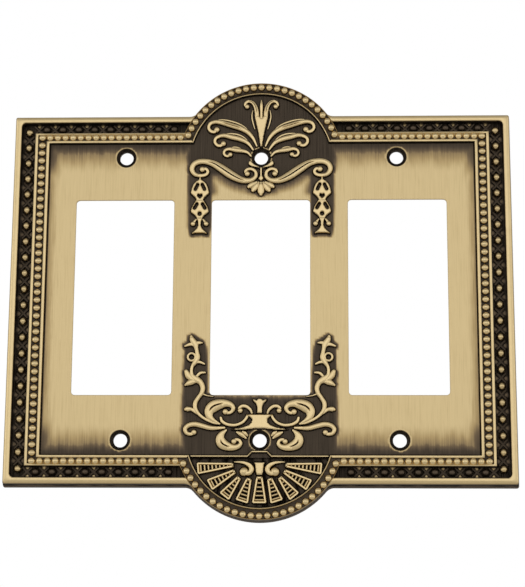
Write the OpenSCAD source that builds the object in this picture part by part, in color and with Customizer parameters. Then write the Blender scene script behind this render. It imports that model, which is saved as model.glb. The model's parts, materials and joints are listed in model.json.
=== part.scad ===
// Decorative wall plate for three rocker devices, cast in the manner of a beaded picture frame.
// X runs across the plate, +Z up, and the front faces -Y. The wall is the plane y = 0,
// and the origin is the centre of the six-hole screw pattern.
// Outlines are drawn flat in X and Z, and the height above the wall is the third axis
// until upright() stands the piece up.

/* [Devices] */
// Number of rocker openings side by side
gangs = 3; // [3:1:3]
// Distance between neighbouring device centres
gang_pitch = 46.04; // [46:0.01:46.1]
// Width of one rocker opening
opening_w = 33.3; // [33:0.1:33.6]
// Height of one rocker opening
opening_h = 66.8; // [66.5:0.1:67.1]
// Corner radius of a rocker opening
opening_r = 1.2; // [0.5:0.1:2]
// Distance between the upper and the lower row of screws
screw_spacing = 96.84; // [96.8:0.01:96.9]
// Diameter of a screw hole
screw_hole_d = 4.5; // [4:0.1:4.7]
// Diameter of the countersink at the face
screw_head_d = 7.0; // [6.6:0.1:7.4]

/* [Plate] */
// Width of the plate at the wall
plate_w = 170; // [168:0.5:172]
// Height of the plate at the wall, without the arches
plate_h = 126.2; // [125.8:0.1:127]
// Height of the flat face above the wall
face_height = 4.5; // [4:0.1:5]
// Thickness of the metal behind the flat face
wall_t = 2.2; // [2:0.1:2.4]
// Height of the groove's floor above the wall
groove_floor = 2.6; // [2.4:0.1:3]
// Height of the outer rim above the wall
rim_height = 5.7; // [5.2:0.1:6]
// Width of the flat land that rests on the wall
land_w = 8; // [6:0.5:9]

/* [Arches] */
// Distance from the plate's centre to each arch's centre
arch_centre = 46.4; // [46:0.1:46.8]
// Outer radius of an arch at the wall
arch_r = 28.7; // [28.5:0.1:29]
// Radius of the blend between an arch and the straight edge
arch_blend_r = 3.5; // [3:0.5:5]
// Depth of the fan's recess below the flat face
fan_recess = 1.3; // [1:0.1:1.4]

/* [Beads] */
// Diameter of a ball in the outer groove
ball_d = 2.3; // [2:0.1:2.5]
// Spaces between the balls of a side column
ball_steps = 21; // [19:1:23]
// Diameter of a pearl in the frame
pearl_d = 2.4; // [2.2:0.1:2.5]
// Spaces between the pearls of a side column
pearl_steps = 41; // [38:1:42]
// Height of the pearl channel above the face
channel_rise = 0.5; // [0.4:0.1:0.7]
// Height of the frame's fillets above the face
fillet_rise = 1.3; // [1:0.1:1.5]
// Height of the carved ornament above the face
relief = 1.2; // [0.8:0.1:1.5]

/* [Hidden] */
$fn = 48;
bright_brass = "#b89c68";
satin_brass = "#a98f5f";
dark_brass = "#3b3226";
curve_steps = 4;             // points added between two drawn points of a curve
piece_gap = 0.12;            // clear space between neighbouring ornaments
screw_z = screw_spacing / 2;
gang_x = [for (i = [0 : gangs - 1]) (i - (gangs - 1) / 2) * gang_pitch];
half_w = plate_w / 2;
half_h = plate_h / 2;
plate_corner_r = 0.8;
rim_inset = 0.5;             // draft of the outer wall, taken as one step
rim_crown = 0.5;             // height of the rim's narrower crown
groove_x = half_w - 2.9;     // outer edge of the groove
groove_z = half_h - 2.4;
groove_corner_r = 1.5;
frame_x = half_w - 7.6;      // outer edge of the pearl frame
frame_z = half_h - 6.1;
frame_w = 5;                 // width of the pearl frame along the sides
frame_w_z = 3.6;             // width of the pearl frame along the top and bottom
fillet_w = 0.8;
row_fillet_w = 0.35;         // outer fillet along the top and bottom, where the channel is close
arch_face_r = arch_r - 0.5;  // outer radius of an arch at the face
arch_inner_r = 24;
field_x = frame_x - frame_w;
field_z = frame_z - frame_w_z;
fan_z = field_z + 0.8;       // straight edge of the fan's recess
arch_join_x = 25.2;          // where an arch's frame meets the straight frame
ball_x = (groove_x + frame_x) / 2;
ball_z = (groove_z + frame_z) / 2;
ball_corner_z = ball_z - 1;  // the corner ball sits a little in from the rows
ball_row_start = 29.9;       // first and last ball of a row, out from the middle
ball_row_end = 73.8;
ball_row_steps = 8;
cross_l = 4.2;
cross_w = 0.6;
cross_rise = 0.9;
pearl_x = half_w - 10.05;
pearl_z = half_h - 7.7;
pearl_r = pearl_d / 2;
arch_pearl_r = 26.6;
arch_pearl_steps = 12;       // pearls on each side of an arch's top pearl
arch_pearl_angle = 5.72;
husk_x = 20.7;
vine_ring = [-22.8, -20.9];
fan_floor = face_height - fan_recess;
fan_rise = 1.5;
rung_pitch = 1.25;
rung_gap = 0.65;

// ---- Curves: a drawn point is [x, z, half of the band's width there] ----

function between(a, b, c, d, t) =
    0.5 * (2 * b + (c - a) * t + (2 * a - 5 * b + 4 * c - d) * t * t
        + (3 * b - a - 3 * c + d) * t * t * t);
function smooth(p) = let (last = len(p) - 1) [
    for (i = [0 : last - 1], k = [0 : curve_steps - 1])
        between(p[max(i - 1, 0)], p[i], p[i + 1], p[min(i + 2, last)], k / curve_steps),
    p[last]
];
function edge(c, side) = [
    for (i = [0 : len(c) - 1]) let (
        a = c[max(i - 1, 0)],
        b = c[min(i + 1, len(c) - 1)],
        along = [b.x - a.x, b.y - a.y]
    ) [c[i].x, c[i].y] + side * c[i].z * [-along.y, along.x] / norm(along)
];
function reversed(list) = [for (i = [len(list) - 1 : -1 : 0]) list[i]];
// Round end of radius r about point q, where the band arrives from point a
function cap(q, a, r) = let (heading = atan2(q.y - a.y, q.x - a.x))
    [for (t = [75 : -30 : -75]) [q.x + r * cos(heading + t), q.y + r * sin(heading + t)]];
// Outline of the band along p, with its start and its end rounded
function band(p, eye = 0) = let (c = smooth(p), last = len(c) - 1) concat(
    edge(c, 1), cap(c[last], c[last - 1], max(eye, c[last].z)),
    reversed(edge(c, -1)), cap(c[0], c[1], c[0].z));

module stroke(p) polygon(band(p));
// A stroke that ends in a round eye of radius r about its last point
module scroll(p, r) polygon(band(p, r));
// An outline symmetrical about the z axis, from [half width, z] pairs
module turned(p) polygon(concat(p, reversed([for (q = p) [-q.x, q.y]])));

// ---- Placing ----

module upright() rotate([90, 0, 0]) children();
module raised(from, to) upright() translate([0, 0, from]) linear_extrude(to - from) children();
module on_face(rise = relief) raised(face_height, face_height + rise) children();
module right_side() mirror([1, 0, 0]) children();
module both_sides() {
    children();
    mirror([1, 0, 0]) children();
}
module half_plane(side) translate([side * plate_w / 2, 0]) square(plate_w, center = true);

// ---- Outlines ----

module rounded_rectangle(hx, hz, r) {
    square([2 * (hx - r), 2 * hz], center = true);
    square([2 * hx, 2 * (hz - r)], center = true);
    for (sx = [-1, 1], sz = [-1, 1]) translate([sx * (hx - r), sz * (hz - r)]) circle(r);
}
module arches(r) for (s = [-1, 1]) translate([0, s * arch_centre]) circle(r, $fn = 96);
// Concave blend between an arch and the straight edge at height hz
module arch_blends(hz, r) {
    reach = arch_blend_r;
    bx = sqrt(pow(r + reach, 2) - pow(hz + reach - arch_centre, 2));
    touch_x = bx * r / (r + reach);
    touch_z = arch_centre + (hz + reach - arch_centre) * r / (r + reach);
    for (sx = [-1, 1], sz = [-1, 1]) scale([sx, sz]) difference() {
        polygon([[touch_x - 3, hz - 1], [bx, hz - 1], [bx, hz], [bx, hz + reach],
            [touch_x, touch_z], [touch_x - 3, touch_z]]);
        translate([bx, hz + reach]) circle(reach + 0.02);   // crosses the arch instead of only touching it
    }
}
module plate_outline(inset = 0) {
    rounded_rectangle(half_w - inset, half_h - inset, plate_corner_r);
    arches(arch_r - inset);
    arch_blends(half_h - inset, arch_r - inset);
}
module frame_outline(inset, inset_z, r) {
    rounded_rectangle(frame_x - inset, frame_z - inset_z, 1);
    arches(r);
}
module openings() for (x = gang_x) translate([x, 0])
    rounded_rectangle(opening_w / 2, opening_h / 2, opening_r);
module fan_area() intersection() {
    translate([0, -arch_centre]) circle(arch_inner_r, $fn = 96);
    translate([0, -fan_z - 20]) square([60, 40], center = true);
}
module clear_of_screws() difference() {
    children();
    for (s = [-1, 1]) translate([0, s * screw_z]) circle(screw_head_d / 2 + piece_gap);
}

// ---- Plate ----

module screw_holes() for (x = gang_x, s = [-1, 1]) translate([x, 0, s * screw_z]) rotate([90, 0, 0]) {
    sink = (screw_head_d - screw_hole_d) / 2 * 1.15;
    cylinder(d = screw_hole_d, h = face_height + 2);
    translate([0, 0, face_height - sink]) cylinder(d1 = screw_hole_d, d2 = screw_head_d, h = sink);
    translate([0, 0, face_height]) cylinder(d = screw_head_d, h = 2);
}
module back_pocket() {
    raised(-1, face_height - wall_t) difference() {
        square([2 * (half_w - land_w), 2 * (half_h - land_w)], center = true);
        fan_area();
    }
    raised(-1, fan_floor - 1.6) translate([0, -arch_centre]) circle(arch_inner_r - 3);
    raised(-1, face_height - wall_t) translate([0, arch_centre]) circle(arch_inner_r - 2);
}
module plate_body() color(satin_brass) difference() {
    union() {
        raised(0, groove_floor) plate_outline();
        raised(0, face_height) frame_outline(0, 0, arch_face_r);
    }
    back_pocket();
    raised(fan_floor, face_height + 1) fan_area();
    raised(-1, face_height + 1) openings();
    screw_holes();
}
module outer_rim(side) color(bright_brass) for (layer = [0, 1])
    raised(groove_floor + layer * (rim_height - groove_floor - rim_crown), rim_height - (1 - layer) * rim_crown)
        intersection() {
            difference() {
                plate_outline(rim_inset + layer * rim_crown);
                rounded_rectangle(groove_x + layer * rim_crown, groove_z + layer * rim_crown, groove_corner_r);
                arches(arch_face_r + piece_gap);
            }
            half_plane(side);
        }

// ---- Pearl frame ----

module frame_ring() difference() {
    frame_outline(0, 0, arch_face_r);
    frame_outline(frame_w, frame_w_z, arch_inner_r);
}
module frame_fillets() {
    difference() {
        frame_outline(0, 0, arch_face_r);
        frame_outline(fillet_w, row_fillet_w, arch_face_r - fillet_w / 2);
    }
    difference() {
        frame_outline(frame_w - fillet_w, frame_w_z - fillet_w, arch_inner_r + fillet_w);
        frame_outline(frame_w, frame_w_z, arch_inner_r);
    }
}
module arch_zone(s) translate([0, s * (field_z + 20)]) square([2 * arch_join_x, 40], center = true);
module frame_part() color(bright_brass) {
    on_face(channel_rise) intersection() { frame_ring(); children(); }
    on_face(fillet_rise) intersection() { frame_fillets(); children(); }
}
module pearl_frame(side) frame_part() difference() {
    half_plane(side);
    for (s = [-1, 1]) arch_zone(s);
}
module arch_frame(s) frame_part() arch_zone(s);

// ---- Balls, crosses and pearls ----

// A round bead at [x, z], cut off flat at the height where it sits
module bead(at, r, seat, sink) translate([at.x, 0, at.y]) upright() intersection() {
    translate([0, 0, seat + sink]) sphere(r, $fn = 24);
    translate([0, 0, seat + r]) cube(2 * r, center = true);
}
module ball(x, z) bead([x, z], ball_d / 2, groove_floor, 0.6);
module pearl(x, z) bead([x, z], pearl_r, face_height + channel_rise, 0.1);
module cross(x, z) raised(groove_floor, groove_floor + cross_rise) translate([x, z])
    for (a = [45, -45]) rotate(a) square([cross_l, cross_w], center = true);

ball_pitch = 2 * ball_corner_z / ball_steps;
function ball_row(i) = ball_row_start + i * (ball_row_end - ball_row_start) / ball_row_steps;
module border_balls_side(side) color(bright_brass)
    for (i = [0 : ball_steps]) ball(side * ball_x, -ball_corner_z + i * ball_pitch);
module border_crosses_side(side) color(dark_brass)
    for (i = [0 : ball_steps - 1]) cross(side * ball_x, -ball_corner_z + (i + 0.5) * ball_pitch);
module border_balls_row(s) color(bright_brass)
    for (side = [-1, 1], i = [0 : ball_row_steps]) ball(side * ball_row(i), s * ball_z);
module border_crosses_row(s) color(dark_brass)
    for (side = [-1, 1], i = [0 : ball_row_steps]) cross(side * ball_row(i + 0.5), s * ball_z);

pearl_pitch = 2 * pearl_z / pearl_steps;
arch_end_x = arch_pearl_r * sin(arch_pearl_steps * arch_pearl_angle);
row_steps = round((pearl_x - arch_end_x) / pearl_pitch);
module frame_pearls_side(side) color(bright_brass)
    for (i = [0 : pearl_steps]) pearl(side * pearl_x, -pearl_z + i * pearl_pitch);
module frame_pearls_row(s) color(bright_brass)
    for (side = [-1, 1], i = [1 : row_steps - 1])
        pearl(side * (arch_end_x + i * (pearl_x - arch_end_x) / row_steps), s * pearl_z);
module arch_pearls(s) color(bright_brass)
    for (i = [-arch_pearl_steps : arch_pearl_steps]) let (a = i * arch_pearl_angle)
        pearl(arch_pearl_r * sin(a), s * (arch_centre + arch_pearl_r * cos(a)));

// ---- Crest: leaves spread from the upper middle screw ----

module crest_centre_leaf() color(bright_brass) {
    on_face() clear_of_screws()
        turned([[0.4, 51.5], [0.7, 54.6], [1.05, 56.6], [1.6, 58.6], [1.9, 60.2], [1.6, 61.6], [1.3, 62.1]]);
    on_face() stroke([[0, 65.2, 0.25], [0, 67, 0.5], [0, 68.3, 0.2]]);
}
module crest_top_scrolls() color(bright_brass) on_face() both_sides() scroll([
    [-0.95, 62.85, 0.5], [-1.25, 64.8, 0.55], [-1.9, 66.8, 0.55], [-3, 68, 0.5], [-4.3, 68.4, 0.45],
    [-5.4, 67.8, 0.42], [-5.8, 66.9, 0.4], [-5, 66.3, 0.4]], 0.5);
module crest_upper_leaves() color(bright_brass) on_face() clear_of_screws() both_sides() scroll([
    [-1.4, 51.6, 0.25], [-2.7, 54.8, 0.45], [-4.6, 57.3, 0.7], [-7.2, 58.9, 1.1], [-10.4, 59.8, 1.25],
    [-13.3, 60.7, 1], [-15.6, 61, 0.65], [-17.5, 60.3, 0.5], [-18.1, 58.9, 0.5], [-17.4, 57.7, 0.5],
    [-16.1, 57.4, 0.5], [-15, 58.2, 0.5]], 0.6);
module crest_middle_leaves() color(bright_brass) on_face() clear_of_screws() both_sides() scroll([
    [-2.6, 50.6, 0.3], [-4.6, 53.6, 0.5], [-7.4, 54.8, 1], [-10.3, 55.5, 1.05], [-12.4, 56.1, 0.75],
    [-14.1, 56, 0.5], [-15.6, 55.1, 0.5], [-15.9, 53.7, 0.5], [-15, 52.5, 0.5], [-13.9, 52.3, 0.5],
    [-12.8, 53.1, 0.5]], 0.6);
module crest_lower_leaves() color(bright_brass) on_face() clear_of_screws() both_sides() scroll([
    [-3.4, 48.6, 0.3], [-4.6, 49.9, 0.4], [-6.4, 50.6, 0.6], [-8.7, 50.8, 0.75], [-10.8, 51.3, 0.5],
    [-12.2, 50.8, 0.45], [-12.8, 49.8, 0.42], [-12.3, 48.9, 0.42], [-11.2, 48.6, 0.42], [-10.4, 49.2, 0.4]],
    0.5);
module crest_calyx() color(bright_brass) on_face() clear_of_screws() both_sides()
    polygon([[-3.6, 47.6], [-4, 46.2], [-2.5, 45.2], [-0.2, 44.9], [-0.2, 47]]);
module crest_stem() color(bright_brass) on_face()
    turned([[0.45, 44.8], [0.4, 41.4], [0.9, 40.5], [0, 39.7]]);
module crest_shell() color(bright_brass) on_face() {
    stroke([[0, 39.2, 0.3], [0, 37.6, 0.9], [0, 35.6, 0.95], [0, 34.9, 0.3]]);
    both_sides() {
        stroke([[-0.7, 39, 0.3], [-1.6, 37.8, 0.8], [-2.4, 36.7, 0.7], [-2.6, 36.4, 0.4]]);
        stroke([[-1.5, 38.9, 0.25], [-2.9, 38.3, 0.6], [-4.1, 37.8, 0.45], [-4.3, 37.7, 0.3]]);
    }
}
module crest_scroll() color(bright_brass) on_face() scroll([
    [-20, 44.3, 0.55], [-18.8, 44.1, 0.5], [-18.2, 43, 0.5], [-19.1, 42.1, 0.55], [-20.8, 41.9, 0.6],
    [-22.6, 42.4, 0.65], [-23.7, 44, 0.7], [-23.2, 45.8, 0.75], [-21.3, 46.9, 0.8], [-18.9, 47.1, 0.85],
    [-16.1, 46.2, 1.2], [-13.2, 44.3, 1.4], [-9.8, 41.9, 1.4], [-6.4, 40.2, 1], [-3.5, 40, 0.75],
    [-1.7, 41.4, 0.6], [-1.8, 43.2, 0.5], [-3.4, 44.3, 0.5], [-5.1, 44, 0.5], [-5.5, 42.9, 0.45],
    [-4.8, 42.3, 0.4]], 0.55);
module crest_scroll_right() right_side() crest_scroll();

// ---- Husk drops: two husks and a footed tail on each side ----

module slot(a, b, r) for (s = [-1, 1]) scale([s, 1]) {
    stroke([[a.x, a.y, r], [(a.x + b.x) / 2, (a.y + b.y) / 2, r], [b.x, b.y, r]]);
}
module husk_drop() color(bright_brass) on_face() translate([-husk_x, 0]) {
    difference() {
        turned([[0.3, 41.2 - piece_gap], [0.35, 40.2], [1.6, 39.5], [2.3, 38.7], [2.8, 37.4], [3.15, 35.2],
            [2.5, 34.5], [1.1, 33]]);
        slot([-0.75, 38.8], [-1.6, 36.9], 0.4);
        slot([-1.1, 34.9], [-0.4, 34.1], 0.35);
    }
    difference() {
        turned([[1.1, 32.9], [2.1, 31.9], [2.8, 30.7], [3, 28.8], [2.3, 28.1], [1.15, 26.8]]);
        slot([-0.9, 32], [-1.8, 30.3], 0.4);
        translate([0, 28.3]) circle(0.65, $fn = 12);
    }
    turned([[1.15, 26.7], [0.55, 25.6], [0.5, 24.4], [0.9, 23.4], [1.6, 22.6], [2.5, 21.8], [2.4, 21.3],
        [1.2, 21.6]]);
    both_sides() scroll([[-1.2, 26.4, 0.25], [-1.8, 25.6, 0.5], [-2.2, 24.9, 0.6]], 0.8);
}
module husk_drop_right() right_side() husk_drop();

// ---- Vines: each rises beside the middle opening from the vase ----

module vine() color(bright_brass) on_face() difference() {
    vine_strokes();
    translate(vine_ring) circle(0.75, $fn = 12);
}
module vine_strokes() {
    translate(vine_ring) circle(1.6, $fn = 12);
    stroke([[-13.2, -43.1, 0.3], [-15.6, -42.6, 0.4], [-18.9, -40.9, 0.45], [-21, -38.6, 0.6],
        [-21.3, -36.3, 0.65], [-20.3, -34.4, 0.6], [-19.2, -32.8, 0.65], [-18.9, -31, 0.7],
        [-19.7, -29.2, 0.8], [-21.2, -28.2, 1], [-22.4, -27, 0.6], [-22.7, -25.4, 0.5], [-22.4, -23.9, 0.5],
        [-21.5, -22.5, 0.7], [-20.8, -21, 0.8], [-20.9, -19.3, 0.6], [-21.2, -17.8, 0.6], [-21.6, -16.4, 0.9],
        [-22.5, -15.1, 0.8], [-22.9, -13.9, 0.45]]);
    stroke([[-18.7, -41, 0.2], [-20.9, -39.4, 0.45], [-22.7, -38.3, 0.55], [-24.3, -38.2, 0.75], [-24.9, -38.3, 0.5]]);
    stroke([[-21, -29, 0.4], [-22.8, -29.2, 0.9], [-24.6, -30.2, 0.35]]);
    stroke([[-22, -28.5, 0.6], [-23.6, -27.2, 0.9], [-24.4, -25.6, 0.6]]);
    stroke([[-21, -27.4, 0.4], [-19.8, -26.2, 0.45], [-18.2, -26, 0.3]]);
    stroke([[-21.6, -22.6, 0.4], [-20, -22.5, 0.45], [-18.5, -23.1, 0.3]]);
    stroke([[-21.2, -17.2, 0.4], [-22.9, -16.5, 0.55], [-24.9, -17.1, 0.3]]);
    stroke([[-21.6, -16.2, 0.5], [-20.4, -16, 0.5], [-19.3, -16, 0.25]]);
    stroke([[-19.2, -33, 0.3], [-17.4, -33.7, 0.2], [-15.4, -34, 0.15]]);
}
module vine_right() right_side() vine();

// ---- Base: a vase with a flower, handles and acanthus scrolls ----

module base_scroll() color(bright_brass) on_face() scroll([
    [-12, -44.4, 0.35], [-15.8, -44.5, 0.6], [-18.9, -43.8, 0.7], [-21.7, -43.2, 0.75], [-24, -43.5, 0.7],
    [-25.2, -44.8, 0.6], [-24.6, -46.2, 0.55], [-23, -46.7, 0.5], [-21.8, -46.1, 0.45]], 0.55);
module base_scroll_right() right_side() base_scroll();
module upper_acanthus() color(bright_brass) on_face() scroll([
    [-13.6, -42.4, 0.25], [-15.2, -41.7, 0.5], [-16.6, -40.6, 0.9], [-16.9, -38.9, 1.4], [-15.6, -37.3, 1.75],
    [-13.5, -36.3, 1.45], [-11.3, -35.9, 1], [-9.5, -36.4, 0.75], [-8.6, -37.6, 0.6], [-8.9, -38.9, 0.5],
    [-10.2, -39.6, 0.45], [-11.5, -39.2, 0.4]], 0.5);
module upper_acanthus_right() right_side() upper_acanthus();
module lower_acanthus() color(bright_brass) on_face() scroll([
    [-11, -45.2, 0.3], [-12.5, -46.4, 0.9], [-13.2, -48, 1.35], [-12.6, -49.6, 1.6], [-10.9, -50.7, 1.3],
    [-8.9, -51.3, 0.85], [-7, -51, 0.65], [-6, -49.8, 0.5], [-6.5, -48.7, 0.45], [-7.8, -48.3, 0.4],
    [-8.6, -48.9, 0.4]], 0.5);
module lower_acanthus_right() right_side() lower_acanthus();
module vase() color(bright_brass) on_face() clear_of_screws()
    turned([[4.4, -40.2], [4.3, -40.7], [3.1, -41], [2.5, -41.7], [2.6, -42.6], [3.6, -43.4], [5.5, -44.2],
        [7.6, -44.7], [8.8, -45], [8.8, -45.3]]);
module vase_flower() color(bright_brass) on_face()
    turned([[0.9, -40.1], [0.8, -37.6], [1, -36.4], [1.9, -35.5], [2.2, -34.9]]);
module vase_handles() color(bright_brass) on_face() both_sides() stroke([
    [-12.9, -41, 0.3], [-12.3, -42.2, 0.5], [-10.5, -43.4, 0.45], [-8, -43.5, 0.4], [-5.9, -42.7, 0.4],
    [-5, -41.8, 0.35], [-4.7, -41.4, 0.3]]);
module vase_scrolls() color(bright_brass) on_face() both_sides() scroll([
    [-2.7, -39.6, 0.3], [-3.2, -38.5, 0.4], [-4.4, -37.5, 0.45], [-5.8, -37.3, 0.45], [-6.8, -38, 0.4],
    [-6.8, -38.8, 0.4]], 0.45);
module bowl_petals() color(bright_brass) on_face() clear_of_screws() both_sides() {
    stroke([[-7.2, -46.4, 0.3], [-6, -46.5, 0.55], [-4.8, -47.6, 0.3]]);
    stroke([[-4.7, -46, 0.3], [-4, -46.3, 0.4], [-3.7, -47, 0.25]]);
}

// ---- Fan in the lower arch ----

// The fillet above the fan steps up in the middle like a keystone
keystone = [[-22.5, 0], [-4.1, 0], [-2.6, 1.5], [2.6, 1.5], [4.1, 0], [22.5, 0]];
fan_fillet_w = 0.7;
module fan_fillet() color(bright_brass) on_face(fillet_rise) translate([0, -field_z])
    polygon(concat(keystone, reversed([for (p = keystone) [p.x * 0.93, p.y - fan_fillet_w]])));
module fan_post() color(bright_brass) raised(fan_floor, fan_floor + fan_rise)
    turned([[1.7, -55.4], [1.2, -56.4], [1.1, -58.8], [0.8, -59.8]]);
module fan_scrolls() color(bright_brass) raised(fan_floor, fan_floor + fan_rise) both_sides() scroll([
    [-7.6, -55.5, 0.2], [-6.3, -55.6, 0.35], [-4.7, -55.8, 0.5], [-3.1, -56.6, 0.8], [-2.5, -57.9, 0.85],
    [-3.2, -59.1, 0.7], [-4.6, -59.4, 0.6], [-5.4, -58.7, 0.5]], 1.1);

// A blade from its inner end to its outer end, with rungs left between cross slots
module blade(inner, outer, inner_w, outer_w) {
    run = outer - inner;
    length = norm(run);
    rungs = floor((length - 1.2) / rung_pitch);
    raised(fan_floor, fan_floor + fan_rise) translate(inner) rotate(atan2(run.y, run.x) + 90) difference() {
        turned([[inner_w, 0], [outer_w, 0.5 - length], [outer_w - 0.5, -length]]);
        for (i = [0 : rungs - 1]) let (r = length - 1 - i * rung_pitch, w = inner_w + (outer_w - inner_w) * r / length)
            translate([0, -r]) square([2 * w - 1, rung_gap], center = true);
    }
}
module fan_blade_centre() color(bright_brass) blade([0, -60.3], [0, -68.9], 1, 2.3);
module fan_blades_1() color(bright_brass) both_sides() blade([-3.3, -60.9], [-5.65, -68.3], 0.8, 2);
module fan_blades_2() color(bright_brass) both_sides() blade([-6.6, -60.6], [-11.35, -66.6], 0.7, 1.85);
module fan_blades_3() color(bright_brass) both_sides() blade([-8, -58.5], [-16.05, -63], 0.75, 1.9);
module fan_blades_4() color(bright_brass) both_sides() blade([-8.6, -56.6], [-20, -57.8], 0.7, 1.95);

plate_body();
outer_rim(-1);  // outer_rim_left
outer_rim(1);  // outer_rim_right
pearl_frame(-1);  // pearl_frame_left
pearl_frame(1);  // pearl_frame_right
arch_frame(1);  // crest_arch_frame
arch_frame(-1);  // base_arch_frame
border_balls_side(-1);  // border_balls_left
border_balls_side(1);  // border_balls_right
border_balls_row(1);  // border_balls_top
border_balls_row(-1);  // border_balls_bottom
border_crosses_side(-1);  // border_crosses_left
border_crosses_side(1);  // border_crosses_right
border_crosses_row(1);  // border_crosses_top
border_crosses_row(-1);  // border_crosses_bottom
frame_pearls_side(-1);  // frame_pearls_left
frame_pearls_side(1);  // frame_pearls_right
frame_pearls_row(1);  // frame_pearls_top
frame_pearls_row(-1);  // frame_pearls_bottom
arch_pearls(1);  // crest_arch_pearls
arch_pearls(-1);  // base_arch_pearls
crest_centre_leaf();
crest_top_scrolls();
crest_upper_leaves();
crest_middle_leaves();
crest_lower_leaves();
crest_calyx();
crest_stem();
crest_shell();
crest_scroll();  // crest_scroll_left
crest_scroll_right();
husk_drop();  // husk_drop_left
husk_drop_right();
vine();  // vine_left
vine_right();
base_scroll();  // base_scroll_left
base_scroll_right();
upper_acanthus();  // upper_acanthus_left
upper_acanthus_right();
lower_acanthus();  // lower_acanthus_left
lower_acanthus_right();
vase();
vase_flower();
vase_handles();
vase_scrolls();
bowl_petals();
fan_fillet();
fan_post();
fan_scrolls();
fan_blade_centre();
fan_blades_1();
fan_blades_2();
fan_blades_3();
fan_blades_4();
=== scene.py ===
import json
import math
import bmesh
import bpy
import numpy as np
from mathutils import Euler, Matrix, Vector, geometry, kdtree, noise

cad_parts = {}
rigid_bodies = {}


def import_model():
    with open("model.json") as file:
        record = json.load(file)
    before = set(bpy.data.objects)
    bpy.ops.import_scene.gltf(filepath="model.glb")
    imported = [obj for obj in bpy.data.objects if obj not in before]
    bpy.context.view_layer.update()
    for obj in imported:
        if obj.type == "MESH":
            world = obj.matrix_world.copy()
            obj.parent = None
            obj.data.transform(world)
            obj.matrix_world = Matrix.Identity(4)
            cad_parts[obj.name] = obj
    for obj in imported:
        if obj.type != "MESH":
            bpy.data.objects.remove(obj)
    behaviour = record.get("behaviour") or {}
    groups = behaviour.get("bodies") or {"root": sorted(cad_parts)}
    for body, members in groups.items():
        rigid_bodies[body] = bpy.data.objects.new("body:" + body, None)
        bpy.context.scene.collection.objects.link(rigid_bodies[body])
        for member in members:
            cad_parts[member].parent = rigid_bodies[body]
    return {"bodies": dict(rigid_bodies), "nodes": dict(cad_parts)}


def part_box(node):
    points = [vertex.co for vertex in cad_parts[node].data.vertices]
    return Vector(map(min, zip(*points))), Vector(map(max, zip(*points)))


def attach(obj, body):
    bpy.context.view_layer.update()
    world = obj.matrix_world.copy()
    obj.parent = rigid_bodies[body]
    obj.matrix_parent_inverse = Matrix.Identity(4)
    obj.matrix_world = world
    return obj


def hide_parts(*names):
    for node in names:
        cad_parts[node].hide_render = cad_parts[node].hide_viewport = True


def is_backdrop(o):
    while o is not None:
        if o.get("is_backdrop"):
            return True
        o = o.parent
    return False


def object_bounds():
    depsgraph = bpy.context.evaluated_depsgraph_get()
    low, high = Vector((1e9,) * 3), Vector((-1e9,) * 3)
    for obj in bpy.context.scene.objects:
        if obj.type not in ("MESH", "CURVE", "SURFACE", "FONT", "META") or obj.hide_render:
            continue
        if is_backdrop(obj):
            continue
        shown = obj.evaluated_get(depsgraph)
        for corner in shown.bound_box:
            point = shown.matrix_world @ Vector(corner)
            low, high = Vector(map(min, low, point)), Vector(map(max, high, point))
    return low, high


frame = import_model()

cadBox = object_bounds()
mm = 0.001
root = list(frame["bodies"])[0]
scene = bpy.context.scene
print("frame loaded:", len(frame["nodes"]), "CAD nodes on body", root)

# Plan points are (x, z) in mm on the wall, and a height is mm out from the wall towards the viewer.

# sizes of the plate in mm, read from the CAD boxes where they can be
bodyLow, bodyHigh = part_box("plate_body")
rimLow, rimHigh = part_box("outer_rim_right")
plate = {
    "halfWidth": bodyHigh.x / mm,
    "halfHeight": rimHigh.z / mm + 0.4,   # the skirt at the wall stands a little outside the rim
    "faceHeight": -bodyLow.y / mm,
    "grooveFloor": -rimHigh.y / mm,
    "rimTop": -rimLow.y / mm,
    "archCentre": 46.4,
    "archRadius": bodyHigh.z / mm - 46.4 - 0.01,
    "archBlend": 3.5,
    "cornerRadius": 0.8,
    "wallThickness": 2.2,
    "landWidth": 8.0,
    "fanRecess": 1.3,
}
device = {
    "pitch": 46.04,
    "count": 3,
    "openingWidth": 33.3,
    "openingHeight": 66.8,
    "openingCorner": 1.2,
    "screwRows": 96.84,
    "holeDiameter": 4.6,
    "sinkDiameter": 7.0,
}
archCentre = plate["archCentre"]
faceHeight = plate["faceHeight"]
grooveFloor = plate["grooveFloor"]
fanFloor = faceHeight - plate["fanRecess"]
deviceXs = [(i - (device["count"] - 1) / 2) * device["pitch"] for i in range(device["count"])]


def arcPoints(centre, radius, fromDeg, toDeg, steps):
    angles = np.radians(np.linspace(fromDeg, toDeg, steps + 1))
    return [(centre[0] + radius * math.cos(a), centre[1] + radius * math.sin(a)) for a in angles]


def linePoints(start, end, steps):
    return [(start[0] + (end[0] - start[0]) * i / steps, start[1] + (end[1] - start[1]) * i / steps)
            for i in range(steps + 1)]


def mirrored(points):
    return [(-p[0],) + tuple(p[1:]) for p in points]


def smoothPath(points, perSpan=7):
    # Catmull-Rom through the drawn points, carrying width and whatever else they hold
    p = np.array(points, float)
    last = len(p) - 1
    out = []
    for i in range(last):
        a, b, c, d = p[max(i - 1, 0)], p[i], p[i + 1], p[min(i + 2, last)]
        for k in range(perSpan):
            t = k / perSpan
            out.append(0.5 * (2 * b + (c - a) * t + (2 * a - 5 * b + 4 * c - d) * t * t
                              + (3 * b - a - 3 * c + d) * t ** 3))
    out.append(p[last])
    return np.array(out)


def smoothStep(low, high, value):
    t = np.clip((value - low) / (high - low), 0, 1)
    return t * t * (3 - 2 * t)


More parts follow.
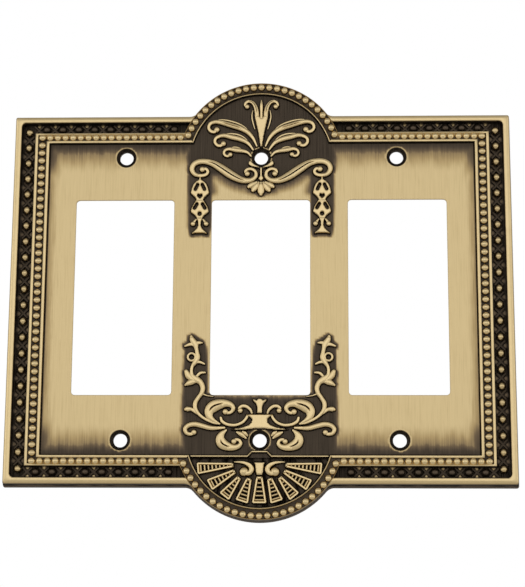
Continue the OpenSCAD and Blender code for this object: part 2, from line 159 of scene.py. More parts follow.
def insideLoops(points, loops):
    # which points lie inside the first closed loop and outside the others
    points = np.asarray(points, float)
    result = np.ones(len(points), bool)
    for first, loop in enumerate(np.asarray(loop, float) for loop in loops):
        inside = np.zeros(len(points), bool)
        for (x0, z0), (x1, z1) in zip(loop, np.roll(loop, -1, axis=0)):
            if z0 != z1:
                crosses = (points[:, 1] > z0) != (points[:, 1] > z1)
                inside ^= crosses & (points[:, 0] < (x1 - x0) * (points[:, 1] - z0) / (z1 - z0) + x0)
        result &= ~inside if first else inside
    return result


def pointTree(points):
    tree = kdtree.KDTree(len(points))
    for i, p in enumerate(points):
        tree.insert((p[0], p[1], 0), i)
    tree.balance()
    return tree


def loopTree(loops, spacing=0.15):
    # closely spaced points along closed loops, for distances to them
    samples = []
    for loop in loops:
        loop = np.asarray(loop, float)
        for a, b in zip(loop, np.roll(loop, -1, axis=0)):
            steps = max(1, int(math.dist(a, b) / spacing))
            samples += [a + (b - a) * i / steps for i in range(steps)]
    return pointTree(samples)


def distanceTo(tree, point):
    return tree.find((point[0], point[1], 0))[2]


class Shape:
    # plan points with heights and tones, and their faces, on the way to one mesh
    # tone is 0 on rubbed bright brass and 1 in the darkest patina

    def __init__(self, points=(), tones=(), faces=()):
        self.points, self.tones, self.faces = list(points), list(tones), list(faces)

    def add(self, points, heights, tones):
        start, count = len(self.points), len(points)
        self.points += [(p[0], p[1], h) for p, h in zip(points, np.broadcast_to(heights, count))]
        self.tones += [float(t) for t in np.broadcast_to(tones, count)]
        return list(range(start, start + count))

    def strip(self, a, b, closed=True):
        for i in range(len(a) if closed else len(a) - 1):
            j = (i + 1) % len(a)
            self.faces.append((a[i], a[j], b[j], b[i]))

    def chain(self, rows, closed=True):
        # adds rows of (points, heights, tones) and joins each one to the next
        made = [self.add(*row) for row in rows]
        for a, b in zip(made, made[1:]):
            self.strip(a, b, closed)
        return made

    def sheet(self, loops, height, tone=0.0, extra=(), toneOf=None):
        # fills the first loop less the others at one height, with extra points inside it
        flat, edges = [], []
        for loop in loops:
            start = len(flat)
            flat += [Vector((p[0], p[1])) for p in loop]
            edges += [(start + i, start + (i + 1) % len(loop)) for i in range(len(loop))]
        flat += [Vector((p[0], p[1])) for p in extra]
        found, _, triangles, _, _, _ = geometry.delaunay_2d_cdt(flat, edges, [], 0, 1e-5)
        found = np.array([(v.x, v.y) for v in found])
        triangles = np.array([t for t in triangles if len(t) == 3])
        keep = insideLoops(found[triangles].mean(axis=1), loops)
        index = self.add(found, height, [toneOf(p) for p in found] if toneOf else tone)
        self.faces += [tuple(index[i] for i in t) for t in triangles[keep]]

    def mirrorCopy(self):
        return Shape([(-x, z, h) for x, z, h in self.points], self.tones, [f[::-1] for f in self.faces])

    def join(self, other):
        start = len(self.points)
        self.points += other.points
        self.tones += other.tones
        self.faces += [tuple(start + i for i in f) for f in other.faces]
        return self


def makePiece(shape, node, slot="carved_relief", sharpAngle=38, name=None):
    # crest_top_scrolls is replaced by crestTopScrolls, unless the piece has a name of its own
    first, *rest = node.split("_")
    name = name or first + "".join(word.title() for word in rest)
    mesh = bpy.data.meshes.new(name)
    mesh.from_pydata([(x * mm, -h * mm, z * mm) for x, z, h in shape.points], [], shape.faces)
    mesh.attributes.new("tone", "FLOAT", "POINT").data.foreach_set("value", shape.tones)
    work = bmesh.new()
    work.from_mesh(mesh)
    bmesh.ops.remove_doubles(work, verts=work.verts, dist=1e-7)
    bmesh.ops.dissolve_degenerate(work, edges=work.edges, dist=1e-8)
    bmesh.ops.recalc_face_normals(work, faces=work.faces)
    limit = math.radians(sharpAngle)
    for edge in work.edges:
        edge.smooth = not (edge.is_manifold and edge.calc_face_angle(0) > limit)
    for face in work.faces:
        face.smooth = True
    work.to_mesh(mesh)
    work.free()
    piece = bpy.data.objects.new(name, mesh)
    scene.collection.objects.link(piece)
    mesh.materials.append(finishes[slot])
    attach(piece, root)
    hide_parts(node)


def makePair(shape, stem, slot="carved_relief", sharpAngle=38, sides=("left", "right")):
    # the shape as drawn, and its mirror image on the other side
    makePiece(shape, stem + "_" + sides[0], slot, sharpAngle)
    makePiece(shape.mirrorCopy(), stem + "_" + sides[1], slot, sharpAngle)


def brassColour(hexCode):
    # sRGB hex to the linear colour that the shader wants
    values = [int(hexCode[i:i + 2], 16) / 255 for i in (1, 3, 5)]
    linear = [v / 12.92 if v <= 0.04045 else ((v + 0.055) / 1.055) ** 2.4 for v in values]
    return (*linear, 1.0)


def addNode(tree, kind, settings=None, **links):
    # a short kind is a shader node; settings holds properties and input values, and a link names an
    # input and gives the output for it
    node = tree.nodes.new(kind if "Node" in kind else "ShaderNode" + kind)
    for key, value in (settings or {}).items():
        if isinstance(key, str) and hasattr(node, key):
            setattr(node, key, value)
        else:
            node.inputs[key].default_value = value
    for key, source in links.items():
        target = node.inputs[int(key[1:])] if key[0] == "i" and key[1:].isdigit() else node.inputs[key]
        tree.links.new(source, target)
    return node


# antique brass: blackened all over and then rubbed back, so the high parts shine pale gold, the
# slopes are brown, and the corners keep the near-black patina
brassTones = [(0.0, "#dcc595"), (0.2, "#b59d70"), (0.45, "#776650"), (0.72, "#584d41"), (0.86, "#4b4238"),
              (1.0, "#110d09")]


def antiqueBrass(name, roughness, patinaRoughness, grain, grainDepth, mottle, brushed, tones=brassTones):
    finish = bpy.data.materials.new(name)
    finish.use_nodes = True
    tree = finish.node_tree
    tree.nodes.clear()
    place = addNode(tree, "TexCoord")
    tone = addNode(tree, "Attribute", {"attribute_name": "tone"})
    # grain is the size of a brush line or a hammer mark in mm, and Object coordinates are metres
    stretch = (1 / (grain * mm), 1 / (grain * mm), 1 / (grain * mm * (60 if brushed else 1)))
    turned = addNode(tree, "Mapping", {"Scale": stretch}, Vector=place.outputs["Object"])
    lines = addNode(tree, "TexNoise", {"Scale": 1.0, "Detail": 3.0, "Roughness": 0.6},
                    Vector=turned.outputs[0])
    # cloudy patina a few mm across, where the rubbing was uneven
    cloud = addNode(tree, "TexNoise", {"Scale": 1 / (4.5 * mm), "Detail": 4.0, "Roughness": 0.55},
                    Vector=place.outputs["Object"])
    uneven = addNode(tree, "Math", {"operation": "MULTIPLY_ADD", 1: mottle, 2: -mottle / 2},
                     i0=cloud.outputs["Fac"])
    streak = addNode(tree, "Math", {"operation": "MULTIPLY_ADD", 1: 0.42 if brushed else 0.1,
                                              2: -0.21 if brushed else -0.05}, i0=lines.outputs["Fac"])
    summed = addNode(tree, "Math", {"operation": "ADD"}, i0=uneven.outputs[0], i1=streak.outputs[0])
    worn = addNode(tree, "Math", {"operation": "ADD", "use_clamp": True},
                   i0=tone.outputs["Fac"], i1=summed.outputs[0])
    ramp = addNode(tree, "ValToRGB", {}, Fac=worn.outputs[0])
    stops = ramp.color_ramp.elements
    while len(stops) < len(tones):
        stops.new(0.5)
    for stop, (position, hexCode) in zip(stops, tones):
        stop.position = position
        stop.color = brassColour(hexCode)
    rough = addNode(tree, "MapRange", {"To Min": roughness, "To Max": patinaRoughness},
                    Value=worn.outputs[0])
    bump = addNode(tree, "Bump", {"Strength": 0.35, "Distance": grainDepth * mm},
                   Height=lines.outputs["Fac"])
    brass = addNode(tree, "BsdfPrincipled", {"Metallic": 1.0}, **{
        "Base Color": ramp.outputs["Color"], "Roughness": rough.outputs[0], "Normal": bump.outputs[0]})
    addNode(tree, "OutputMaterial", {}, Surface=brass.outputs[0])
    return finish


# the field: a shade duller than the relief, with brush lines up and down it; they are 0.25 mm apart,
# a little coarser than real ones so that they show
fieldTones = [(0.0, "#d5bf90")] + brassTones[1:]
brushedField = antiqueBrass("brushed antique brass", 0.42, 0.6, 0.25, 0.02, 0.06, True, fieldTones)
# the rim and mouldings: satin, with the faint grain of a casting
rubbedRim = antiqueBrass("rubbed rim brass", 0.34, 0.55, 0.6, 0.015, 0.1, False)
# the carved ornament: bright crowns over dark feet, the strongest contrast on the plate
rubbedRelief = antiqueBrass("rubbed relief brass", 0.3, 0.55, 0.5, 0.015, 0.08, False)
# the beads: the smoothest brass, so that each one holds a small round highlight
pearlBrass = antiqueBrass("polished pearl brass", 0.26, 0.5, 0.5, 0.01, 0.08, False)
# the straps: left nearly black, to make the balls between them stand out
darkStraps = antiqueBrass("blackened groove brass", 0.4, 0.5, 0.5, 0.02, 0.15, False)
finishes = {
    "brushed_field": brushedField,
    "polished_rim": rubbedRim,
    "frame_moulding": rubbedRim,
    "carved_relief": rubbedRelief,
    "fan_relief": rubbedRelief,
    "frame_pearls": pearlBrass,
    "groove_balls": pearlBrass,
    "dark_straps": darkStraps,
}
print("finishes ready")


def circleLoop(centre, radius, steps=48):
    return arcPoints(centre, radius, 0, 360, steps)[:-1]


def fourWays(quarter):
    # a quarter outline from the crown round to the middle of the right side, made into a closed loop
    right = quarter + [(x, -z) for x, z in quarter[::-1]][1:]
    return right + mirrored(right[::-1])[1:-1]


def blendTouch(halfZ, archRadius, blend):
    # where the concave blend leaves the arch, and the blend's centre
    reach = halfZ + blend - archCentre
    blendX = math.sqrt((archRadius + blend) ** 2 - reach ** 2)
    return math.degrees(math.atan2(reach, blendX)), (blendX, halfZ + blend)


def plateOutline(inset):
    halfX, halfZ = plate["halfWidth"] - inset, plate["halfHeight"] - inset
    radius, blend = plate["archRadius"] - inset, plate["archBlend"] + inset
    corner = max(plate["cornerRadius"] - inset / 2, 0.3)
    touch, blendCentre = blendTouch(halfZ, radius, blend)
    loop = arcPoints((0, archCentre), radius, 90, touch, 40)
    loop += arcPoints(blendCentre, blend, 180 + touch, 270, 8)[1:]
    loop += linePoints(loop[-1], (halfX - corner, halfZ), 24)[1:]
    loop += arcPoints((halfX - corner, halfZ - corner), corner, 90, 0, 5)[1:]
    return fourWays(loop + linePoints(loop[-1], (halfX, 0), 30)[1:])


def joinX(radius, halfZ):
    # where a straight edge meets a circle of the arch
    return math.sqrt(radius ** 2 - (halfZ - archCentre) ** 2)


def frameOutline(halfX, halfZ, archRadius):
    join = joinX(archRadius, halfZ)
    turn = math.degrees(math.atan2(halfZ - archCentre, join))
    loop = arcPoints((0, archCentre), archRadius, 90, turn, 40)
    loop += linePoints((join, halfZ), (halfX, halfZ), 24)[1:]
    return fourWays(loop + linePoints((halfX, halfZ), (halfX, 0), 26)[1:])


def openingLoop(x, grow=0.0):
    halfX, halfZ = device["openingWidth"] / 2 + grow, device["openingHeight"] / 2 + grow
    radius = device["openingCorner"] + grow
    loop = []
    for sx, sz, start in [(1, 1, 0), (-1, 1, 90), (-1, -1, 180), (1, -1, 270)]:
        arc = arcPoints((x + sx * (halfX - radius), sz * (halfZ - radius)), radius, start, start + 90, 6)
        if loop:
            loop += linePoints(loop[-1], arc[0], 24)[1:-1]
        loop += arc
    return loop + linePoints(loop[-1], loop[0], 24)[1:-1]


fan = {"radius": 24.1, "top": -54.2, "rise": 1.5}


def fanLoop():
    radius, top = fan["radius"], fan["top"]
    halfX = math.sqrt(radius ** 2 - (top + archCentre) ** 2)
    edge = math.degrees(math.atan2(top + archCentre, halfX))
    arc = arcPoints((0, -archCentre), radius, edge, -180 - edge, 60)
    return arc + linePoints(arc[-1], arc[0], 40)[1:-1]


def moulding(outer, inner, profiles):
    # runs a profile between two paths, or a profile for each point of them;
    # a profile point is (share of the width, height, tone)
    if not isinstance(profiles[0], list):
        profiles = [profiles] * len(outer)
    rows = []
    for a, b, profile in zip(outer, inner, profiles):
        points = [(a[0] + (b[0] - a[0]) * t, a[1] + (b[1] - a[1]) * t) for t, _, _ in profile]
        rows.append((points, [p[1] for p in profile], [p[2] for p in profile]))
    shape = Shape()
    rows = shape.chain(rows)
    shape.faces += [tuple(rows[0]), tuple(rows[-1][::-1])]
    return shape


# the rounded cross-section that every carved piece shares: (share of the half width, share of the
# rise, tone), from the foot to the crown, with a dark foot spreading a little on the ground: patina in
# that corner, together with painted shade on the steep sides
reliefFoot = [(0.34, -0.03, 1.0), (0.06, 0.05, 1.0)]
reliefSide = [(1.0, 0.3, 0.8), (0.98, 0.58, 0.3), (0.88, 0.82, 0.1), (0.65, 0.96, 0.02)]
reliefEdges = []


def crossSection(halfWidth, rise, groove=0.0):
    # (offset across, height over the ground, tone) from the left foot to the right foot
    rise = rise * min(1, 0.62 + 0.5 * halfWidth)
    left = [(halfWidth + e, h, t) for e, h, t in reliefFoot]
    left += [(halfWidth * u, rise * v, t) for u, v, t in reliefSide]
    crown = []
    for step in (0.16, 0.08, 0.0, -0.08, -0.16):
        depth = groove * (1 - abs(step) / 0.16) ** 0.8
        crown.append((halfWidth * step, rise * (1 - depth), min(1.0, 1.6 * depth)))
    return left + crown + [(-x, h, t) for x, h, t in reversed(left)]


def button(shape, centre, radius, rise, ground=faceHeight, dome=1.0):
    # a domed round boss with its own foot
    section = crossSection(radius, rise)[:6] + [(radius * 0.3, rise * dome, 0.0)]
    rings = shape.chain([(circleLoop(centre, o, 20), ground + h, t) for o, h, t in section])
    shape.faces += [tuple(rings[-1]), tuple(rings[0][::-1])]


def carvedBand(path, groove=0.0, eye=0.0, span=(0.1, 0.3, 0.7, 0.9), rise=1.2, ground=faceHeight, perSpan=6):
    # a rounded band that follows a path of (x, z, half width), with an optional line cut along it,
    # which deepens and fades at the four shares of the path in span
    line = smoothPath(path, perSpan)
    last = len(line) - 1
    way = np.gradient(line[:, :2], axis=0)
    way /= np.linalg.norm(way, axis=1)[:, None]
    across = np.stack([-way[:, 1], way[:, 0]], axis=1)

    def row(i, toward, section):
        points = [(line[i][0] + toward[0] * o, line[i][1] + toward[1] * o) for o, _, _ in section]
        return points, [ground + h for _, h, _ in section], [t for _, _, t in section]

    rows = []
    for i, halfWidth in enumerate(line[:, 2]):
        share = i / last
        cut = groove * smoothStep(span[0], span[1], share) * (1 - smoothStep(span[2], span[3], share))
        rows.append(row(i, across[i], crossSection(halfWidth, rise, cut)))
        if halfWidth > 0.2:
            reliefEdges.extend([rows[-1][0][2], rows[-1][0][-3]])
    shape = Shape()
    shape.chain(rows)
    for end, sign in ((0, -1), (last, 1)):
        # the round end: half of the section turned about the end point
        section = crossSection(line[end][2], rise)
        section = section[:len(section) // 2 + 1]
        angles = [math.pi * k / 8 for k in range(9)]
        turns = shape.chain([row(end, across[end] * math.cos(a) + way[end] * sign * math.sin(a), section)
                             for a in angles], closed=False)
        shape.faces.append(tuple(t[0] for t in turns))
    if eye:
        button(shape, line[last][:2], eye, rise * 1.04, ground)
    return shape


def ridgeBeside(path, first, last, gap=0.3, halfWidth=0.24):
    # a thin ridge along the upper edge of a leaf, between two of the leaf's drawn points
    line = smoothPath(path, 4)
    way = np.gradient(line[:, :2], axis=0)
    way /= np.linalg.norm(way, axis=1)[:, None]
    ridge = []
    for i in range(first * 4, last * 4 + 1, 2):
        share = (i / 4 - first) / (last - first)
        swell = math.sin(math.pi * share)
        reach = line[i][2] + gap + halfWidth * swell ** 0.5 - 0.5 * (1 - swell)
        ridge.append((line[i][0] + way[i][1] * reach, line[i][1] - way[i][0] * reach,
                      0.1 + halfWidth * swell))
    return carvedBand(ridge, rise=0.95, perSpan=3)


def offsetLoop(loop, amount):
    # moves a closed counter-clockwise loop outwards by its corner normals
    p = np.asarray(loop, float)
    a = p - np.roll(p, 1, axis=0)
    b = np.roll(p, -1, axis=0) - p
    a /= np.linalg.norm(a, axis=1)[:, None]
    b /= np.linalg.norm(b, axis=1)[:, None]
    normal = np.stack([a[:, 1] + b[:, 1], -(a[:, 0] + b[:, 0])], axis=1)
    length = np.linalg.norm(normal, axis=1)[:, None]
    return p + normal / np.maximum(length, 0.2) * amount


def evenLoop(loop, spacing):
    out = []
    for a, b in zip(loop, list(loop[1:]) + [loop[0]]):
        if math.dist(a, b) < 1e-6:
            continue        # a point on the middle line, met again by its mirror image
        steps = max(1, round(math.dist(a, b) / spacing))
        out += linePoints(a, b, steps)[:-1]
    return out


def signedArea(loop):
    p = np.asarray(loop, float)
    q = np.roll(p, -1, axis=0)
    return 0.5 * float(np.sum(p[:, 0] * q[:, 1] - q[:, 0] * p[:, 1]))


def carvedPad(outline, holes=(), rise=1.2, ground=faceHeight, crown=0.75, spacing=0.28):
    # a pillowed pad with a free outline and holes that show the ground
    loops = []
    for i, loop in enumerate([outline, *holes]):
        turned = (signedArea(loop) < 0) == (i == 0)
        loops.append(evenLoop(list(loop)[::-1] if turned else list(loop), spacing))
    reliefEdges.extend(p for loop in loops for p in loop)
    low, high = np.min(loops[0], axis=0), np.max(loops[0], axis=0)
    tree = loopTree(loops, 0.08)
    grid = [(x, z) for x in np.arange(low[0], high[0], spacing) for z in np.arange(low[1], high[1], spacing)]
    grid = np.array(grid) + 0.013       # keeps the grid off the outline's own points
    inner = [p for p in grid[insideLoops(grid, loops)] if distanceTo(tree, p) > spacing * 0.45]
    shape = Shape()
    shape.sheet(loops, ground, 0.0, inner)
    for i, (x, z, _) in enumerate(shape.points):
        t = min(1.0, distanceTo(tree, (x, z)) / crown)
        shape.points[i] = (x, z, ground + rise * (0.34 + 0.66 * (1 - (1 - t) ** 2.6) ** 0.6))
        # darker towards the outline and the foot: patina in the corner, with painted shade on the steep sides
        shape.tones[i] = float(np.interp(t, [0, 0.05, 0.16, 0.5], [0.8, 0.3, 0.08, 0.0]))
    feet = []
    for loop in loops:
        foot = [(loop, ground + 0.34 * rise, 0.8)]
        foot += [(offsetLoop(loop, o), ground + h, t) for o, h, t in reliefFoot[::-1]]
        shape.chain(foot)
        feet.append(foot[-1][0])
    shape.sheet(feet, ground + reliefFoot[0][1], 1.0)
    return shape


def bothSides(shape):
    return Shape().join(shape).join(shape.mirrorCopy())


def symmetric(half):
    # a closed outline from (half width, z) pairs
    return list(half) + mirrored(half[::-1])


def moved(points, dx):
    return [(p[0] + dx,) + tuple(p[1:]) for p in points]


def holeAlong(a, b, radius):
    # a slot-shaped outline
    angle = math.degrees(math.atan2(b[1] - a[1], b[0] - a[0]))
    return arcPoints(b, radius, angle - 90, angle + 90, 6) + arcPoints(a, radius, angle + 90, angle + 270, 6)


# crest: leaves spread from the upper middle screw
crest = {"rise": 1.25, "scrollGroove": 0.62}

centreLeaf = carvedPad(symmetric([(0.45, 51.9), (0.8, 54.6), (1.2, 57), (1.65, 59.2), (2.05, 61), (2.2, 62.8),
    (1.6, 63.6), (0.5, 62.9), (0.15, 62.4)]), rise=crest["rise"])
centreLeaf.join(carvedBand([(0, 59.4, 0.25), (0, 61.5, 0.45), (0, 64.2, 0.5), (0, 66.2, 0.62),
    (0, 67.4, 0.52), (0, 68.5, 0.2)], rise=1.3))
centreLeaf.join(bothSides(carvedBand([(-2.9, 65.2, 0.1), (-3.25, 63.2, 0.24), (-2.95, 61.0, 0.26),
    (-2.2, 58.4, 0.16)], rise=0.6)))
makePiece(centreLeaf, "crest_centre_leaf")

topScroll = carvedBand([(-0.95, 57.6, 0.2), (-1.25, 60.4, 0.55), (-1.5, 62.6, 0.78), (-1.6, 64.4, 0.8),
    (-2.05, 66.3, 0.74), (-3, 67.7, 0.64), (-4.3, 68.2, 0.56), (-5.3, 67.7, 0.52), (-5.6, 66.8, 0.5),
    (-4.9, 66.3, 0.5)], groove=0.3, eye=0.85, span=(0.3, 0.4, 0.55, 0.7))
makePiece(bothSides(topScroll), "crest_top_scrolls")

upperPath = [(-1.5, 52.2, 0.3), (-2.8, 55.0, 0.6), (-4.7, 57.2, 0.8), (-7.2, 58.6, 0.9), (-10.2, 59.6, 0.92),
    (-13.1, 60.5, 0.85), (-15.6, 60.9, 0.74), (-17.4, 60.3, 0.66), (-18.0, 58.9, 0.62), (-17.4, 57.7, 0.62),
    (-16.1, 57.3, 0.62), (-15.2, 58.1, 0.6)]
upperLeaf = carvedBand(upperPath, groove=0.22, eye=1.0, span=(0.25, 0.32, 0.4, 0.48))
upperLeaf.join(ridgeBeside(upperPath, 2, 6))
makePiece(bothSides(upperLeaf), "crest_upper_leaves")

middlePath = [(-2.75, 50.9, 0.35), (-4.6, 53.3, 0.65), (-7.3, 54.7, 0.85), (-10.1, 55.4, 0.86),
    (-12.4, 56.0, 0.78), (-14.1, 55.8, 0.66), (-15.5, 55.0, 0.62), (-15.8, 53.7, 0.6), (-15, 52.6, 0.6),
    (-13.9, 52.4, 0.6), (-12.9, 53.1, 0.58)]
middleLeaf = carvedBand(middlePath, eye=0.95)
middleLeaf.join(ridgeBeside(middlePath, 1, 4))
makePiece(bothSides(middleLeaf), "crest_middle_leaves")

lowerPath = [(-3.5, 48.7, 0.35), (-4.6, 49.9, 0.5), (-6.4, 50.5, 0.7), (-8.7, 50.8, 0.78),
    (-10.8, 51.2, 0.62), (-12.2, 50.8, 0.54), (-12.7, 49.8, 0.52), (-12.2, 48.9, 0.52), (-11.3, 48.7, 0.52),
    (-10.5, 49.2, 0.5)]
lowerLeaf = carvedBand(lowerPath, eye=0.82)
lowerLeaf.join(ridgeBeside(lowerPath, 2, 4, 0.16, 0.16))
makePiece(bothSides(lowerLeaf), "crest_lower_leaves")

calyx = carvedPad([(-0.3, 44.4), (-2.0, 44.55), (-3.4, 44.95), (-4.25, 45.5), (-4.35, 46.3), (-3.85, 47.25),
    (-3.1, 46.5), (-2.2, 45.65), (-0.7, 45.0)], spacing=0.18, crown=0.35)
makePiece(bothSides(calyx), "crest_calyx")
stem = carvedPad(symmetric([(0.5, 44.7), (0.45, 41.6), (1.0, 40.7), (0, 39.6)]), spacing=0.2, crown=0.4)
makePiece(stem, "crest_stem")

shellLobe = carvedBand([(-0.8, 39.3, 0.4), (-1.75, 37.9, 1.0), (-2.5, 36.9, 1.02), (-2.7, 36.6, 0.7)])
outerLobe = carvedBand([(-1.5, 39.4, 0.4), (-2.9, 38.65, 0.82), (-3.9, 38.0, 0.85), (-4.15, 37.85, 0.6)])
shell = bothSides(shellLobe).join(bothSides(outerLobe))
shell.join(carvedBand([(0, 39.2, 0.45), (0, 37.6, 1.1), (0, 36.0, 1.2), (0, 35.3, 0.7)], rise=1.3))
makePiece(shell, "crest_shell")

crestScroll = carvedBand([(-19.9, 44.1, 0.6), (-18.7, 44.1, 0.6), (-18.1, 43.1, 0.6), (-18.9, 42.1, 0.62),
    (-20.7, 41.8, 0.65), (-22.5, 42.3, 0.75), (-23.5, 44, 0.88), (-23, 45.7, 0.95), (-21.3, 46.7, 1.0),
    (-18.9, 46.8, 1.05), (-16.1, 46.0, 1.25), (-13.1, 44.1, 1.5), (-9.7, 41.8, 1.5), (-6.4, 40.2, 1.15),
    (-3.6, 40.1, 0.85), (-1.9, 41.3, 0.72), (-1.9, 43.1, 0.62), (-3.4, 44.1, 0.58), (-4.9, 43.8, 0.58),
    (-5.3, 42.9, 0.55), (-4.7, 42.4, 0.5)], groove=crest["scrollGroove"], eye=0.95,
    span=(0.46, 0.52, 0.6, 0.67))
button(crestScroll, (-20.0, 44.0), 1.0, crest["rise"])
makePair(crestScroll, "crest_scroll")
print("crest carved")

# husk drops: two husks and a footed tail on each side
husk = {"axis": -20.7, "widen": 1.06}


def huskPad(half, slots=(), hole=()):
    holes = []
    for a, b, r in slots:
        slot = holeAlong(a, b, r)
        holes += [slot, mirrored(slot)]
    if hole:
        holes.append(hole)
    outline = moved(symmetric([(x * husk["widen"], z) for x, z in half]), husk["axis"])
    return carvedPad(outline, [moved(h, husk["axis"]) for h in holes], spacing=0.2, crown=0.5)


heart = [(0, 33.9), (0.75, 34.6), (0.7, 35.2), (0.3, 35.2), (0, 34.85), (-0.3, 35.2), (-0.7, 35.2),
    (-0.75, 34.6)]
huskDrop = huskPad([(0.35, 41.4), (0.4, 40.5), (1.4, 39.8), (2.2, 38.8), (2.7, 37.4), (3.0, 35.9),
    (2.9, 35.4), (1.6, 34.1), (1.2, 33.4), (1.2, 32.7)], [((-0.8, 38.6), (-1.55, 37.0), 0.42)], heart)
huskDrop.join(huskPad([(1.2, 33.35), (1.9, 32.1), (2.6, 30.8), (2.95, 29.3), (2.8, 28.8), (1.5, 27.7),
    (1.1, 27.1), (1.1, 26.5)], [((-0.95, 31.8), (-1.75, 30.4), 0.42)],
    [(0.6 * math.cos(a), 28.4 + 0.6 * math.sin(a)) for a in np.linspace(0, 6.28, 9)[:-1]]))
huskDrop.join(huskPad([(1.1, 27.1), (0.6, 25.7), (0.5, 24.4), (0.9, 23.4), (1.6, 22.6), (2.5, 21.8),
    (2.4, 21.3), (1.2, 21.6)]))
for side in (1, -1):
    tail = [(-1.2 * side, 26.4, 0.3), (-1.8 * side, 25.6, 0.5), (-2.2 * side, 24.9, 0.6)]
    huskDrop.join(carvedBand(moved(tail, husk["axis"]), eye=0.85))
makePair(huskDrop, "husk_drop")

# vines
vineStrokes = [
    [(-13.2, -43.1, 0.3), (-15.6, -42.6, 0.4), (-18.9, -40.9, 0.45), (-21, -38.6, 0.6),
     (-21.3, -36.3, 0.65), (-20.3, -34.4, 0.6), (-19.2, -32.8, 0.65), (-18.9, -31, 0.7),
     (-19.7, -29.2, 0.8), (-21.2, -28.2, 1), (-22.4, -27, 0.6), (-22.7, -25.4, 0.5), (-22.4, -23.9, 0.5),
     (-21.5, -22.5, 0.7), (-20.8, -21, 0.8), (-20.9, -19.3, 0.6), (-21.2, -17.8, 0.6),
     (-21.6, -16.4, 0.9), (-22.5, -15.1, 0.8), (-22.9, -13.9, 0.45)],
    [(-18.7, -41, 0.2), (-20.9, -39.4, 0.45), (-22.5, -38.3, 0.55), (-23.9, -38.2, 0.75),
     (-24.4, -38.3, 0.5)],
    [(-21, -29, 0.4), (-22.8, -29.2, 0.9), (-24.6, -30.2, 0.35)],
    [(-22, -28.5, 0.6), (-23.6, -27.2, 0.9), (-24.4, -25.6, 0.6)],
    [(-21, -27.4, 0.4), (-19.8, -26.2, 0.45), (-18.2, -26, 0.3)],
    [(-21.6, -22.6, 0.4), (-20, -22.5, 0.45), (-18.5, -23.1, 0.3)],
    [(-21.2, -17.2, 0.4), (-22.9, -16.5, 0.55), (-24.9, -17.1, 0.3)],
    [(-21.6, -16.2, 0.5), (-20.4, -16, 0.5), (-19.3, -16, 0.25)],
    [(-19.2, -33, 0.3), (-17.4, -33.7, 0.2), (-15.4, -34, 0.15)],
]
vineSizes = {"thicken": 1.22, "ring": (-22.7, -20.8), "ringRadius": 1.75, "ringHole": 0.78}
vine = Shape()
for stroke in vineStrokes:
    vine.join(carvedBand([(x, z, vineSizes["thicken"] * width) for x, z, width in stroke]))
vineRing = circleLoop(vineSizes["ring"], vineSizes["ringRadius"], 24)
vineHole = circleLoop(vineSizes["ring"], vineSizes["ringHole"], 14)
vine.join(carvedPad(vineRing, [vineHole], spacing=0.2, crown=0.35))
makePair(vine, "vine")

# base: a vase with a flower, handles and acanthus scrolls
baseScroll = carvedBand([(-11.6, -44.4, 0.45), (-15.8, -44.5, 0.8), (-18.7, -43.8, 0.9), (-21.3, -43.2, 0.9),
    (-23.4, -43.6, 0.84), (-24.5, -44.8, 0.76), (-24.0, -46.1, 0.7), (-22.5, -46.5, 0.66),
    (-21.6, -45.9, 0.62)], eye=0.95)
makePair(baseScroll, "base_scroll")

upperAcanthus = carvedBand([(-13.4, -43.0, 0.35), (-15.2, -41.9, 0.75), (-16.5, -40.6, 1.25),
    (-16.6, -38.9, 1.75), (-15.4, -37.4, 2.05), (-13.4, -36.6, 1.8), (-11.3, -36.3, 1.3), (-9.5, -36.8, 0.98),
    (-8.7, -37.9, 0.78), (-9.2, -39.0, 0.65), (-10.3, -39.5, 0.6), (-11.3, -39.1, 0.6)], groove=0.45, eye=1.0,
    span=(0.26, 0.34, 0.44, 0.52))
makePair(upperAcanthus, "upper_acanthus")

lowerAcanthus = carvedBand([(-11, -45.2, 0.4), (-12.4, -46.5, 1.05), (-12.9, -48, 1.6), (-12.3, -49.5, 1.85),
    (-10.8, -50.4, 1.6), (-8.9, -50.9, 1.15), (-7.1, -50.6, 0.88), (-6.2, -49.6, 0.7), (-6.6, -48.6, 0.6),
    (-7.7, -48.3, 0.58), (-8.4, -48.9, 0.55)], groove=0.45, eye=0.95, span=(0.22, 0.3, 0.38, 0.46))
makePair(lowerAcanthus, "lower_acanthus")

vase = carvedPad(symmetric([(4.6, -39.85), (4.5, -40.5), (3.3, -40.9), (2.6, -41.6), (2.7, -42.5),
    (3.6, -43.35), (5.5, -44.1), (7.6, -44.55), (9.3, -44.75), (9.3, -45.15), (6, -45.25), (3.2, -45.0),
    (1.5, -44.75)]), spacing=0.25, crown=0.5)
makePiece(vase, "vase", name="vaseBody")
flower = carvedPad(symmetric([(1.0, -39.7), (0.95, -37.6), (1.3, -36.5), (2.2, -35.6), (2.5, -34.8),
    (1.6, -34.9), (1.1, -35.2), (0.5, -34.6)]), spacing=0.2, crown=0.5)
makePiece(flower, "vase_flower")
handle = carvedBand([(-12.8, -41.1, 0.5), (-12.3, -42.3, 0.6), (-10.5, -43.3, 0.58), (-8, -43.5, 0.55),
    (-5.8, -42.7, 0.55), (-4.6, -41.5, 0.55), (-4.1, -40.6, 0.5)])
makePiece(bothSides(handle), "vase_handles")
vaseScroll = carvedBand([(-2.6, -39.5, 0.4), (-3.1, -38.4, 0.55), (-4.3, -37.4, 0.62), (-5.7, -37.2, 0.6),
    (-6.7, -37.9, 0.55), (-6.4, -38.7, 0.55)], eye=0.9)
makePiece(bothSides(vaseScroll), "vase_scrolls")
petals = bothSides(carvedBand([(-7.4, -45.9, 0.4), (-6.1, -46.5, 0.82), (-4.5, -47.8, 0.4)]))
petals.join(bothSides(carvedBand([(-5.5, -45.7, 0.35), (-4.7, -46.2, 0.62), (-4.0, -47.0, 0.35)])))
makePiece(petals, "bowl_petals")
print("base carved")

